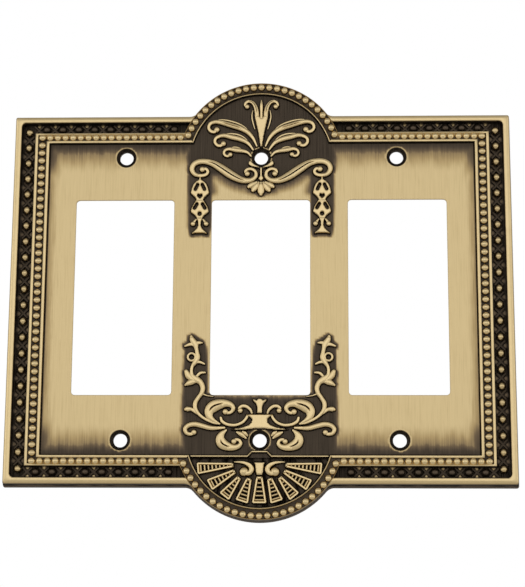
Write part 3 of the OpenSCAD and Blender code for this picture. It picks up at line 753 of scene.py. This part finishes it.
# fan in the lower arch
fanRise = fan["rise"]
ridge = [(-22.9, 0), (-4.1, 0), (-2.6, 1.5), (2.6, 1.5), (4.1, 0), (22.9, 0)]
ridgeLoop = [(x, z - 53.4) for x, z in ridge]
ridgeLoop += [(x * (0.99 if abs(x) > 9 else 0.92), z - 54.15) for x, z in ridge[::-1]]
makePiece(carvedPad(ridgeLoop, rise=1.25, crown=0.4, spacing=0.25), "fan_fillet", "frame_moulding")
post = carvedPad(symmetric([(2.25, -55.4), (1.6, -56.4), (1.4, -58.8), (0.95, -60.0)]), rise=fanRise,
    ground=fanFloor)
makePiece(post, "fan_post", "fan_relief")
fanScroll = carvedBand([(-8.2, -55.5, 0.2), (-6.3, -55.6, 0.45), (-4.7, -55.9, 0.62), (-3.2, -56.7, 0.85),
    (-2.6, -57.9, 0.9), (-3.2, -59.0, 0.9), (-4.5, -59.2, 0.85), (-5.3, -58.8, 0.7)], rise=fanRise,
    ground=fanFloor)
button(fanScroll, (-5.1, -58.7), 1.55, fanRise, fanFloor, dome=1.1)
makePiece(bothSides(fanScroll), "fan_scrolls", "fan_relief")

# each blade: inner end, outer end, and the half widths there
fanBlades = [
    ((0, -60.2), (0, -69.2), 1.15, 2.5),
    ((-3.3, -60.8), (-5.8, -68.7), 1.0, 2.3),
    ((-6.5, -60.5), (-11.6, -67.0), 0.85, 2.15),
    ((-7.9, -58.5), (-16.5, -63.2), 0.85, 2.15),
    ((-8.4, -56.5), (-20.6, -57.7), 0.8, 2.1),
]


def bladeBorder(inner, outer, innerHalf, outerHalf):
    # the raised edge round a blade and the low floor inside it
    run = np.array(outer) - np.array(inner)
    length = float(np.linalg.norm(run))
    along = run / length
    side = np.array((-along[1], along[0]))
    edge = [(0, innerHalf), (length - 0.5, outerHalf), (length, outerHalf - 0.5)]
    loop = [np.array(inner) + along * t + side * w for t, w in edge]
    loop += [np.array(inner) + along * t - side * w for t, w in reversed(edge)]
    if signedArea(loop) < 0:
        loop.reverse()
    loop = evenLoop([tuple(p) for p in loop], 0.35)
    reliefEdges.extend(loop)
    # dark foot and floor: patina in the corners, with painted shade on the steep sides of the edge
    section = [(0.22, -0.03, 1.0), (0.06, 0.1, 1.0), (0.03, 0.7, 0.35), (-0.05, 1.2, 0.05),
               (-0.25, 1.45, 0.0), (-0.7, 1.45, 0.0), (-0.92, 1.2, 0.1), (-1.0, 0.35, 1.0)]
    rings = [(offsetLoop(loop, o), fanFloor + h, t) for o, h, t in section]
    shape = Shape()
    shape.chain(rings)
    for points, height, _ in (rings[-1], rings[0]):
        shape.sheet([points], height, 1.0)
    return shape


# repeats on a path, made by Geometry Nodes
def repeatTree(name, buildOne):
    # the node group: the path is shared out by Count, and one piece stands on every point, turned along it
    tree = bpy.data.node_groups.new(name, "GeometryNodeTree")
    tree.interface.new_socket("Path", in_out="INPUT", socket_type="NodeSocketGeometry")
    for label, kind, value in (("Count", "NodeSocketInt", 10), ("Size", "NodeSocketFloat", 0.001),
                               ("Unevenness", "NodeSocketFloat", 0.03), ("Seed", "NodeSocketInt", 7),
                               ("Finish", "NodeSocketMaterial", None)):
        socket = tree.interface.new_socket(label, in_out="INPUT", socket_type=kind)
        if value is not None:
            socket.default_value = value
    tree.interface.new_socket("Repeats", in_out="OUTPUT", socket_type="NodeSocketGeometry")
    given = addNode(tree, "NodeGroupInput").outputs
    curve = addNode(tree, "GeometryNodeMeshToCurve", {}, Mesh=given["Path"])
    spaced = addNode(tree, "GeometryNodeResampleCurve", {"mode": "COUNT"}, Curve=curve.outputs[0],
                     Count=given["Count"])
    tangent = addNode(tree, "GeometryNodeInputTangent")
    turn = addNode(tree, "FunctionNodeAlignRotationToVector", {"axis": "X", "pivot_axis": "Y"},
                   Vector=tangent.outputs[0])
    low = addNode(tree, "Math", {"operation": "SUBTRACT", 0: 1.0}, i1=given["Unevenness"])
    high = addNode(tree, "Math", {"operation": "ADD", 0: 1.0}, i1=given["Unevenness"])
    uneven = addNode(tree, "FunctionNodeRandomValue", {"data_type": "FLOAT"}, i2=low.outputs[0],
                     i3=high.outputs[0], Seed=given["Seed"])
    wide = addNode(tree, "GeometryNodeInputNamedAttribute", {"data_type": "FLOAT", "Name": "wide"})
    span = addNode(tree, "CombineXYZ", {}, X=uneven.outputs[1], Y=uneven.outputs[1],
                   Z=wide.outputs[0])
    placed = addNode(tree, "GeometryNodeInstanceOnPoints", {}, Points=spaced.outputs[0],
                     Instance=buildOne(tree, given["Size"]), Rotation=turn.outputs[0], Scale=span.outputs[0])
    real = addNode(tree, "GeometryNodeRealizeInstances", {}, Geometry=placed.outputs[0])
    coated = addNode(tree, "GeometryNodeSetMaterial", {}, Geometry=real.outputs[0], Material=given["Finish"])
    addNode(tree, "NodeGroupOutput", {}, Repeats=coated.outputs[0])
    return tree


def onePearl(tree, size):
    ball = addNode(tree, "GeometryNodeMeshIcoSphere", {"Subdivisions": 3}, Radius=size)
    return addNode(tree, "GeometryNodeSetShadeSmooth", {}, Geometry=ball.outputs[0]).outputs[0]


def oneBar(tree, size):
    # a bar across the path, bevelled by scaling a low round rod
    rod = addNode(tree, "GeometryNodeMeshCylinder", {"Vertices": 10, "Depth": 1.0}, Radius=size)
    return addNode(tree, "GeometryNodeSetShadeSmooth", {}, Geometry=rod.outputs[0]).outputs[0]


def oneStrapCross(tree, size):
    # two crossed straps lying in the groove
    strap = addNode(tree, "GeometryNodeMeshCylinder", {"Vertices": 8, "Depth": 4.2 * mm}, Radius=size)
    joined = addNode(tree, "GeometryNodeJoinGeometry")
    for angle in (45, -45):
        turned = addNode(tree, "GeometryNodeTransform", {"Rotation": Euler((0, math.radians(angle), 0))},
                         Geometry=strap.outputs[0])
        tree.links.new(turned.outputs[0], joined.inputs[0])
    return addNode(tree, "GeometryNodeSetShadeSmooth", {}, Geometry=joined.outputs[0]).outputs[0]


pearlTree = repeatTree("pearlsOnPath", onePearl)
barTree = repeatTree("barsOnPath", oneBar)
crossTree = repeatTree("crossesOnPath", oneStrapCross)


def repeatOnPath(tree, paths, height, count, size, finish, toneAt, uneven=0.02):
    # paths are lists of plan points, each shared out separately; returns the shape that the nodes made
    mesh = bpy.data.meshes.new("path")
    verts, edges, wide = [], [], []
    for path in paths:
        start = len(verts)
        verts += [(p[0] * mm, -height * mm, p[1] * mm) for p in path]
        wide += [p[2] if len(p) > 2 else 1.0 for p in path]
        edges += [(start + i, start + i + 1) for i in range(len(path) - 1)]
    mesh.from_pydata(verts, edges, [])
    mesh.attributes.new("wide", "FLOAT", "POINT").data.foreach_set("value", wide)
    carrier = bpy.data.objects.new("pathCarrier", mesh)
    scene.collection.objects.link(carrier)
    modifier = carrier.modifiers.new("repeats", "NODES")
    modifier.node_group = tree
    values = {"Count": count, "Size": size * mm, "Unevenness": uneven, "Seed": 7, "Finish": finish}
    for item in tree.interface.items_tree:
        if item.in_out == "INPUT" and item.name in values:
            modifier[item.identifier] = values[item.name]
    depsgraph = bpy.context.evaluated_depsgraph_get()
    made = bpy.data.meshes.new_from_object(carrier.evaluated_get(depsgraph), depsgraph=depsgraph)
    carrier.modifiers.remove(modifier)
    bpy.data.objects.remove(carrier)
    bpy.data.meshes.remove(mesh)
    points = [(v.co.x / mm, v.co.z / mm, -v.co.y / mm) for v in made.vertices]
    shape = Shape(points, [toneAt(p) for p in points], [tuple(f.vertices) for f in made.polygons])
    return shape


def toneByHeight(floor, heights, tones):
    # the patina at some heights over a floor
    return lambda p: float(np.interp(p[2] - floor, heights, tones))


# fan blades with their rungs
rungs = {"pitch": 1.25, "radius": 0.31, "height": 0.75}
rungTone = toneByHeight(fanFloor + 0.45, [0, 0.2, 0.5], [0.9, 0.35, 0.04])


def bladeWithRungs(inner, outer, innerHalf, outerHalf):
    run = np.array(outer) - np.array(inner)
    length = float(np.linalg.norm(run))
    ends = []
    for t in (0.8, length - 1.35):
        at = np.array(inner) + run / length * t
        ends.append((at[0], at[1], 2 * (innerHalf + (outerHalf - innerHalf) * t / length - 0.4) * mm))
    bars = repeatOnPath(barTree, [ends], fanFloor + rungs["height"], int((length - 1.9) / rungs["pitch"]) + 1,
                        rungs["radius"], rubbedRelief, rungTone, 0.0)
    return bladeBorder(inner, outer, innerHalf, outerHalf).join(bars)


for i, blade in enumerate(fanBlades):
    shape = bladeWithRungs(*blade)
    if i == 0:
        makePiece(shape, "fan_blade_centre", "fan_relief")
    else:
        makePiece(bothSides(shape), "fan_blades_" + str(i), "fan_relief")
print("fan carved")

# balls and crossed straps in the outer groove
groove = {
    "halfX": 82.1,
    "halfZ": 60.7,
    "corner": 1.5,
    "columnX": 79.75,
    "columnEnd": 57.8,
    "columnCount": 22,
    "rowZ": 58.8,
    "rowStart": 29.9,
    "rowEnd": 73.8,
    "rowCount": 9,
    "ball": 1.32,
    "ballWide": 1.08,
    "ballHeight": 3.35,
    "strap": 0.5,
}
columnStep = 2 * groove["columnEnd"] / (groove["columnCount"] - 1)
rowStep = (groove["rowEnd"] - groove["rowStart"]) / (groove["rowCount"] - 1)
strapTone = toneByHeight(grooveFloor, [0, 0.6, 0.9], [1.0, 0.9, 0.72])


def dressGroove(label, balls, ballCount, straps, strapCount, rubbed):
    ballTone = toneByHeight(grooveFloor + 0.1, [0, 0.3, 0.6, 1.0], [1.0, 0.95, rubbed + 0.15, rubbed])
    made = repeatOnPath(pearlTree, balls, groove["ballHeight"], ballCount, groove["ball"], pearlBrass,
                        ballTone)
    makePiece(made, "border_balls_" + label, "groove_balls", name="grooveBalls" + label.title())
    made = repeatOnPath(crossTree, straps, grooveFloor + 0.4, strapCount, groove["strap"], darkStraps,
                        strapTone)
    makePiece(made, "border_crosses_" + label, "dark_straps", name="grooveCrosses" + label.title())


for side, label in ((-1, "left"), (1, "right")):
    x, end, wide = side * groove["columnX"], groove["columnEnd"], groove["ballWide"]
    strapEnd = end - columnStep / 2
    dressGroove(label, [[(x, -end, wide), (x, end, wide)]], groove["columnCount"],
                [[(x, -strapEnd), (x, strapEnd)]], groove["columnCount"] - 1, 0.08)
for side, label in ((1, "top"), (-1, "bottom")):
    # the balls of the rows were hardly rubbed
    z, start, end, half = side * groove["rowZ"], groove["rowStart"], groove["rowEnd"], rowStep / 2
    dressGroove(label, [[(s * start, z), (s * end, z)] for s in (-1, 1)], groove["rowCount"],
                [[(s * (start + half), z), (s * (end + half), z)] for s in (-1, 1)], groove["rowCount"], 0.7)
print("groove dressed")

# pearls on the frame
pearls = {
    "radius": 1.3,
    "height": 4.94,
    "columnRadius": 1.18,
    "columnWide": 1.16,
    "columnX": 74.95,
    "columnCount": 42,
    "rowZ": 55.4,
    "rowCount": 18,
    "archRadius": 26.8,
    "archStep": 5.72,
    "archCount": 25,
}
pearlTone = toneByHeight(4.9, [0, 0.15, 0.4, 1.0], [1.0, 0.7, 0.12, 0.0])
# the pearls along the top and bottom sit in a channel that was rubbed almost as bright as they were
rowPearlTone = toneByHeight(4.9, [0, 0.15, 0.4, 1.0], [0.8, 0.4, 0.06, 0.0])
archTurn = pearls["archStep"] * (pearls["archCount"] - 1) / 2
archEndX = pearls["archRadius"] * math.sin(math.radians(archTurn))
pearlStep = (pearls["columnX"] - archEndX) / (pearls["rowCount"] + 1)


def stringPearls(node, paths, count, radius, tone, lift=0.0):
    made = repeatOnPath(pearlTree, paths, pearls["height"] + lift, count, radius, pearlBrass, tone)
    makePiece(made, node, "frame_pearls")


for side, label in ((-1, "left"), (1, "right")):
    column = [(side * pearls["columnX"], z, pearls["columnWide"]) for z in (-pearls["rowZ"], pearls["rowZ"])]
    stringPearls("frame_pearls_" + label, [column], pearls["columnCount"], pearls["columnRadius"], pearlTone,
                 0.1)
for side, label, arch in ((1, "top", "crest"), (-1, "bottom", "base")):
    z = side * pearls["rowZ"]
    runs = [[(s * (archEndX + pearlStep), z), (s * (pearls["columnX"] - pearlStep), z)] for s in (-1, 1)]
    stringPearls("frame_pearls_" + label, runs, pearls["rowCount"], pearls["radius"], rowPearlTone)
    arc = arcPoints((0, archCentre), pearls["archRadius"], 90 + archTurn, 90 - archTurn, 96)
    arc = [(x, side * z) for x, z in arc]
    stringPearls(arch + "_arch_pearls", [arc], pearls["archCount"], pearls["radius"], pearlTone)

# the frame that carries the pearls
frameSize = {
    "outerX": 77.4,
    "outerZ": 57.0,
    "innerX": 72.4,
    "innerZ": 53.4,
    "archOuter": 28.2,
    "archInner": 24.2,
    "fillet": 1.1,
    "rowFillet": 0.75,
    "top": 5.8,
}


def frameProfile(width, outerFillet, innerFillet, outerSide, innerSide, outerTone):
    # two rounded fillets with the sunk pearl channel between them, and a dark line at the field: patina in
    # that corner, deepened by a painted shadow line under the frame's edge; the sides are the (height, tone)
    # of the channel's floor beside each fillet
    a, b = outerFillet / width, innerFillet / width
    top = frameSize["top"]
    middle = ((outerSide[0] + innerSide[0]) / 2 - 0.05, (outerSide[1] + innerSide[1]) / 2)
    return [(0.0, 4.4, 0.7), (0.0, 5.2, 0.5), (0.14 * a, 5.68, 0.06 + outerTone), (0.5 * a, top, outerTone),
            (0.9 * a, 5.65, 0.08 + outerTone), (a, outerSide[0] + 0.15, 0.9 * outerSide[1]),
            (1.25 * a, *outerSide), (0.5, *middle), (1 - 1.25 * b, *innerSide),
            (1 - b, innerSide[0] + 0.15, 0.9 * innerSide[1]), (1 - 0.9 * b, 5.65, 0.08),
            (1 - 0.5 * b, top, 0.0), (1 - 0.12 * b, 5.68, 0.05), (1.0, 5.2, 0.6), (1.0, 4.62, 1.0),
            (1 + 0.3 / width, 4.53, 1.0), (1 + 0.42 / width, 4.44, 1.0)]


def frameEdge(halfX, halfZ, radius):
    # one edge of the frame: on the right from arch to arch, and round the upper arch
    join = joinX(radius, halfZ)
    upper = linePoints((join, halfZ), (halfX, halfZ), 26)
    run = upper + linePoints((halfX, halfZ), (halfX, -halfZ), 60)[1:-1] + [(x, -z) for x, z in upper[::-1]]
    angle = math.degrees(math.atan2(halfZ - archCentre, join))
    return run, arcPoints((0, archCentre), radius, 180 - angle, angle, 90)


sideProfile = frameProfile(5.0, frameSize["fillet"], frameSize["fillet"], (4.95, 0.9), (4.95, 0.9), 0.0)
rowProfile = frameProfile(3.6, frameSize["rowFillet"], 0.95, (5.3, 0.15), (5.0, 0.85), 0.0)
archProfile = frameProfile(4.0, 0.42, 0.5, (4.95, 0.72), (4.95, 0.78), 0.25)
outerRun, outerArc = frameEdge(frameSize["outerX"], frameSize["outerZ"], frameSize["archOuter"])
innerRun, innerArc = frameEdge(frameSize["innerX"], frameSize["innerZ"], frameSize["archInner"])
rightFrame = moulding(outerRun, innerRun, [rowProfile] * 26 + [sideProfile] * 61 + [rowProfile] * 26)
makePair(rightFrame, "pearl_frame", "frame_moulding", 50, ("right", "left"))
archFrame = moulding(outerArc, innerArc, archProfile)
makePiece(archFrame, "crest_arch_frame", "frame_moulding", 50)
flipped = [(x, -z, h) for x, z, h in archFrame.points]
makePiece(Shape(flipped, archFrame.tones, [f[::-1] for f in archFrame.faces]), "base_arch_frame",
          "frame_moulding", 50)
print("pearl frame swept")

# outer rim
rim = {"draft": 0.6, "draftZ": 0.75, "top": plate["rimTop"]}
rimProfile = [(0.0, 2.4, 1.0), (0.0, 4.5, 0.95), (0.03, 5.0, 0.6), (0.09, 5.32, 0.14), (0.22, 5.5, 0.03),
              (0.5, 5.65, 0.0), (0.85, rim["top"], 0.0), (0.95, 5.58, 0.08), (1.0, 5.1, 0.75),
              (1.0, 2.4, 1.0)]


def rimRun():
    # the rim's outer and inner edges on the right
    halfX, halfZ = plate["halfWidth"] - rim["draft"], plate["halfHeight"] - rim["draftZ"]
    radius, blend = plate["archRadius"] - rim["draft"], plate["archBlend"] + rim["draft"]
    touch, blendCentre = blendTouch(halfZ, radius, blend)
    outer = arcPoints(blendCentre, blend, 180 + touch, 270, 10)
    knee = (outer[-1][0], groove["halfZ"])
    inner = linePoints((joinX(frameSize["archOuter"], knee[1]), knee[1]), knee, 10)
    for edge, x, z, corner in ((outer, halfX, halfZ, 0.6),
                               (inner, groove["halfX"], knee[1], groove["corner"])):
        edge += linePoints(edge[-1], (x - corner, z), 24)[1:]
        edge += arcPoints((x - corner, z - corner), corner, 90, 0, 8)[1:]
        edge += linePoints(edge[-1], (x, 0), 30)[1:]
        edge += [(x, -z) for x, z in edge[::-1]][1:]
    return outer, inner


makePair(moulding(*rimRun(), rimProfile), "outer_rim", "polished_rim", 50, ("right", "left"))
print("rim swept")

# the patina on the forged plate: how far it reaches, in mm
patina = {
    "reach": 1.4,           # round the ornament
    "softReach": 4.2,       # round the shell, over the middle opening
    "rowReach": 11.0,       # from the frame's top and bottom
    "cornerReach": 5.5,
    "crestReach": 2.4,
    "baseHalfWidth": 24.9,
    "baseTop": -34.6,
}
reliefTree = pointTree([q for p in reliefEdges for q in (p, (-p[0], p[1]))])
# the blackened ground of the crest: under the arch and down to the big scrolls
crestGround = [(23.8, 53.6), (24.3, 48.5), (23.6, 44.5), (19, 43.5), (13, 43), (8, 39.5), (0, 38.4)]
crestGround += mirrored(crestGround[::-1])[1:] + [(-16, 72), (16, 72)]
# and the blackened strips behind the husks and the vines
huskGround = [(-24.3, 42), (-24.2, 24), (-23.6, 21.4), (-17.9, 21.4), (-17.3, 24), (-17.3, 42)]
vineGround = [(-25.0, -35), (-25.0, -24.6), (-24.6, -18.5), (-24.8, -16.9), (-23.6, -14.2), (-22.6, -13.2),
    (-19.6, -15.2), (-18.4, -17), (-18.1, -20), (-17.9, -23), (-17.7, -26), (-17.7, -35)]
darkGrounds = [(crestGround, patina["crestReach"], 0.84), (huskGround, 1.0, 0.76), (vineGround, 0.9, 0.8)]
darkGrounds = [(ground, loopTree([ground], 0.3), reach, dark) for ground, reach, dark in darkGrounds]
# the pockets at both edges of the groove, midway between neighbouring balls, where painted glints brighten
# the floor
glintPockets = [(s * groove["columnX"] + e, (i + 0.5) * columnStep - groove["columnEnd"])
           for i in range(groove["columnCount"] - 1) for s in (-1, 1) for e in (-1.6, 1.6)]
columnGlintPockets = len(glintPockets)
glintPockets += [(s * (groove["rowStart"] + (i + 0.5) * rowStep), t * groove["rowZ"] + e)
            for i in range(groove["rowCount"]) for s in (-1, 1) for t in (-1, 1) for e in (-1.0, 1.4)]
glintPocketTree = pointTree(glintPockets)


def fade(near, far, distance):
    # 1 up to the near distance and 0 beyond the far one
    return 1 - smoothStep(near, far, distance)


def fieldPatina(p):
    x, z = abs(p[0]), p[1]
    # the rubbing went up and down the plate, so the patina's edge is drawn out that way
    rough = noise.noise(Vector((p[0] * 0.9, z * 0.12, 0.3))) * 0.5
    rough += noise.noise(Vector((p[0] * 3.1, z * 0.35, 4.3))) * 0.3
    near = distanceTo(reliefTree, p) * (1 + 0.25 * rough)
    toSide = max(0.0, frameSize["innerX"] - x)
    toRow = max(0.0, frameSize["innerZ"] - abs(z))
    tone = max(0.86 * fade(0.3, patina["reach"], near), 0.75 * fade(0.1, 0.9, toSide),
               0.25 * fade(0.3, 3.6, toSide + rough), 0.82 * fade(0.6, 6.0, toRow + 1.6 * rough),
               0.42 * fade(1.0, patina["rowReach"], toRow + 2.4 * rough))
    if z > 30 and x < 17:
        # the bridge over the middle opening is only softly shaded
        soft = 0.5 * smoothStep(33.8, 36.6, z) * fade(0.6, patina["softReach"], near)
        tone = max(tone * smoothStep(32.5, 36.0, z), soft)
    for ground, tree, reach, dark in darkGrounds if x < 28 and abs(z) > 12 else ():
        out = 0.0 if insideLoops([(-x, z)], [ground])[0] else distanceTo(tree, (-x, z))
        tone = max(tone, dark * fade(0.1, reach, out * (1 + 0.4 * rough)))
    if z < -30:
        out = max(x - patina["baseHalfWidth"], 0.8 * (z - patina["baseTop"]))
        tone = max(tone, 0.84 * fade(-0.6, 1.7, out + 0.9 * rough))
    corner = fade(0.3, patina["cornerReach"], toSide + rough) * fade(3, 16, toRow)
    # a thin bright ring round each countersink: a painted highlight, the glint on its lip
    ring = min(math.hypot(p[0] - sx, abs(z) - device["screwRows"] / 2) for sx in deviceXs)
    return float(min(1.0, max(tone, 0.68 * corner)) * (0.15 + 0.85 * smoothStep(3.6, 3.85, ring)))


def groovePatina(p):
    # near-black patina, with painted highlights in the pockets between the straps: brown glints in the
    # columns, bright ones in the rows
    _, index, away = glintPocketTree.find((p[0], p[1], 0))
    return 0.93 - (0.45 if index < columnGlintPockets else 0.9) * float(fade(0.3, 0.95, away))


# the forged plate itself
back = faceHeight - plate["wallThickness"]
flare, backTone = 0.45, 0.72        # the openings widen towards the back, as a cast edge does
screws = [(x, s * device["screwRows"] / 2) for x in deviceXs for s in (-1, 1)]
sinkRadius, holeRadius = device["sinkDiameter"] / 2, device["holeDiameter"] / 2
# the lip's bright edge is a painted highlight, the same glint as the ring in the field round it; the dark
# cone is patina
sinkSection = [(sinkRadius, faceHeight, 0.0), (sinkRadius - 0.1, faceHeight - 0.08, 0.2),
               (sinkRadius - 0.22, faceHeight - 0.2, 0.95),
               (holeRadius, faceHeight - (sinkRadius - holeRadius) * 0.75, 0.95),
               (holeRadius, back, backTone)]


def forgeGroove(shape, ring):
    ledge = plateOutline(rim["draft"] - 0.1)
    shape.chain([(plateOutline(0.0), 0.0, 0.65), (plateOutline(0.3), 2.2, 0.72), (ledge, grooveFloor, 0.6)])
    spots = [(x, z) for x in np.arange(-82.5, 82.6, 0.5) for z in np.arange(-61, 61.1, 0.5)]
    spots = np.array(spots) + 0.07
    spots = spots[((abs(spots[:, 0]) > 77.6) | (abs(spots[:, 1]) > 57.2)) & ~insideLoops(spots, [ring])]
    shape.sheet([ledge, ring], grooveFloor, 0.0, spots, groovePatina)
    shape.chain([(ring, grooveFloor, 1.0), (ring, faceHeight, 0.9)])


def forgeFace(shape, ring):
    loops = [ring] + [openingLoop(x, 0.15) for x in deviceXs] + [circleLoop(c, sinkRadius) for c in screws]
    loops.append(fanLoop())
    # the patina is carried by the points, so they stand closer where it changes
    spots = [(x, z) for x in np.arange(-76.6, 76.7, 0.7) for z in np.arange(-72.4, 72.5, 0.7)
             if abs(x) < 31 or abs(z) > 36 or abs(x) > 66 or round(x / 0.7) % 2 == round(z / 0.7) % 2 == 0]
    spots = np.array(spots)
    edges = loopTree(loops, 0.3)
    spots = [p for p in spots[insideLoops(spots, loops)] if distanceTo(edges, p) > 0.3]
    shape.sheet(loops, faceHeight, 0.0, spots, fieldPatina)
    for x in deviceXs:
        edge = openingLoop(x, 0.15)
        shape.chain([(edge, faceHeight, [fieldPatina(p) for p in edge]),
                     (openingLoop(x), faceHeight - 0.15, 0.05), (openingLoop(x), faceHeight - 0.6, 0.1),
                     (openingLoop(x, flare), back, backTone)])
    for c in screws:
        shape.chain([(circleLoop(c, radius), height, tone) for radius, height, tone in sinkSection])
    shape.chain([(fanLoop(), faceHeight, 0.9), (fanLoop(), fanFloor, 1.0)])
    shape.sheet([fanLoop()], fanFloor, 0.83)


def forgeBack(shape):
    # a land round the edge, a wide hollow, and a deeper one behind the fan
    px, pz = plate["halfWidth"] - plate["landWidth"], plate["halfHeight"] - plate["landWidth"]
    crestRadius, fanRadius, step = 22.0, 21.0, fan["top"]
    rise = math.degrees(math.asin((pz - archCentre) / crestRadius))
    fanX, recessX = (math.sqrt(r ** 2 - (step + archCentre) ** 2) for r in (fanRadius, fan["radius"]))
    main = [(fanX, step), (recessX, step), (recessX, -pz), (px, -pz), (px, pz)]
    main += arcPoints((0, archCentre), crestRadius, rise, 180 - rise, 40)
    main += [(-px, pz), (-px, -pz), (-recessX, -pz), (-recessX, step), (-fanX, step)]
    turn = math.degrees(math.asin((step + archCentre) / fanRadius))
    deepArc = arcPoints((0, -archCentre), fanRadius, 180 - turn, 360 + turn, 40)
    deepFloor = fanFloor - 1.6
    holes = [openingLoop(x, flare) for x in deviceXs] + [circleLoop(c, holeRadius) for c in screws]
    shape.sheet([main] + holes, back, backTone)
    shape.sheet([deepArc], deepFloor, backTone)
    shape.sheet([plateOutline(0.0), main[:-1] + deepArc[:-1]], 0.0, 0.65)
    chord = [deepArc[0], deepArc[-1]]
    for edge, low, lowTone, high in ((main, 0.0, 0.65, back), (deepArc, 0.0, 0.65, deepFloor),
                                     (chord, deepFloor, backTone, back)):
        shape.chain([(edge, low, lowTone), (edge, high, backTone)], closed=False)


forged = Shape()
frameRing = frameOutline(frameSize["outerX"], frameSize["outerZ"], frameSize["archOuter"])
forgeGroove(forged, frameRing)
forgeFace(forged, frameRing)
forgeBack(forged)
makePiece(forged, "plate_body", "brushed_field", 35, "forgedPlate")
print("plate forged")

# setting, light and camera
floorMesh = bpy.data.meshes.new("floor")
floorMesh.from_pydata([(-3, -3, -0.42), (3, -3, -0.42), (3, 3, -0.42), (-3, 3, -0.42)], [], [(0, 1, 2, 3)])
floor = bpy.data.objects.new("floor", floorMesh)
scene.collection.objects.link(floor)
paleFloor = bpy.data.materials.new("pale studio floor")
paleFloor.use_nodes = True
paleFloor.node_tree.nodes["Principled BSDF"].inputs["Base Color"].default_value = brassColour("#f7f5f1")
paleFloor.node_tree.nodes["Principled BSDF"].inputs["Roughness"].default_value = 0.8
floorMesh.materials.append(paleFloor)
floor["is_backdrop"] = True

world = bpy.data.worlds.new("white studio")
scene.world = world
world.use_nodes = True
air = world.node_tree
air.nodes.clear()
facing = addNode(air, "TexCoord")
split = addNode(air, "SeparateXYZ", {}, Vector=facing.outputs["Generated"])
# the room is bright round the horizon and dim overhead and underfoot, which rounds the small forms
upDown = addNode(air, "MapRange", {"From Min": -1.0, "From Max": 1.0}, Value=split.outputs["Z"])
room = addNode(air, "ValToRGB", {}, Fac=upDown.outputs[0])
roomStops = [(0.0, 0.3), (0.3, 0.44), (0.48, 0.7), (0.64, 0.79), (0.82, 0.52), (1.0, 0.4)]
while len(room.color_ramp.elements) < len(roomStops):
    room.color_ramp.elements.new(0.5)
for stop, (position, bright) in zip(room.color_ramp.elements, roomStops):
    stop.position = position
    stop.color = (bright, bright, bright, 1)
roomLight = addNode(air, "Background", {"Strength": 1.0}, Color=room.outputs["Color"])
paper = addNode(air, "Background", {"Color": (1, 1, 1, 1), "Strength": 1.0})
path = addNode(air, "LightPath")
mixed = addNode(air, "MixShader", {}, Fac=path.outputs["Is Camera Ray"], i1=roomLight.outputs[0],
                i2=paper.outputs[0])
addNode(air, "OutputWorld", {}, Surface=mixed.outputs[0])


# softboxes aimed at the plate: place, width, height, power in watts
softboxes = {
    "frontBox": ((0.0, -1.3, 0.28), 1.3, 0.75, 1.55),
    "sideBoxLeft": ((-1.1, -0.8, 0.1), 0.5, 1.0, 1.2),
    "sideBoxRight": ((1.1, -0.8, 0.1), 0.5, 1.0, 0.9),
}
for name, (place, width, height, power) in softboxes.items():
    data = bpy.data.lights.new(name, "AREA")
    data.shape = "RECTANGLE"
    data.size, data.size_y = width, height
    data.energy = power
    lamp = bpy.data.objects.new(name, data)
    lamp.location = place
    lamp.rotation_euler = (-Vector(place)).to_track_quat("-Z", "Y").to_euler()
    scene.collection.objects.link(lamp)

# the camera stands low in front of the plate and looks a little up at it
cameraData = bpy.data.cameras.new("camera")
camera = bpy.data.objects.new("camera", cameraData)
scene.collection.objects.link(camera)
cameraData.lens = 102.13
cameraData.sensor_width = 36
cameraData.clip_start = 0.01
camera.location = (0.01917, -0.5485, -0.11859)
camera.rotation_euler = Euler([math.radians(a) for a in (102.383, -0.310, 1.877)])
cameraData.dof.use_dof = False
scene.camera = camera
scene.view_settings.view_transform = "Standard"

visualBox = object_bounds()
for label, box in (("CAD", cadBox), ("visual", visualBox)):
    print(label, "box mm:", [round(v / mm, 2) for corner in box for v in corner])
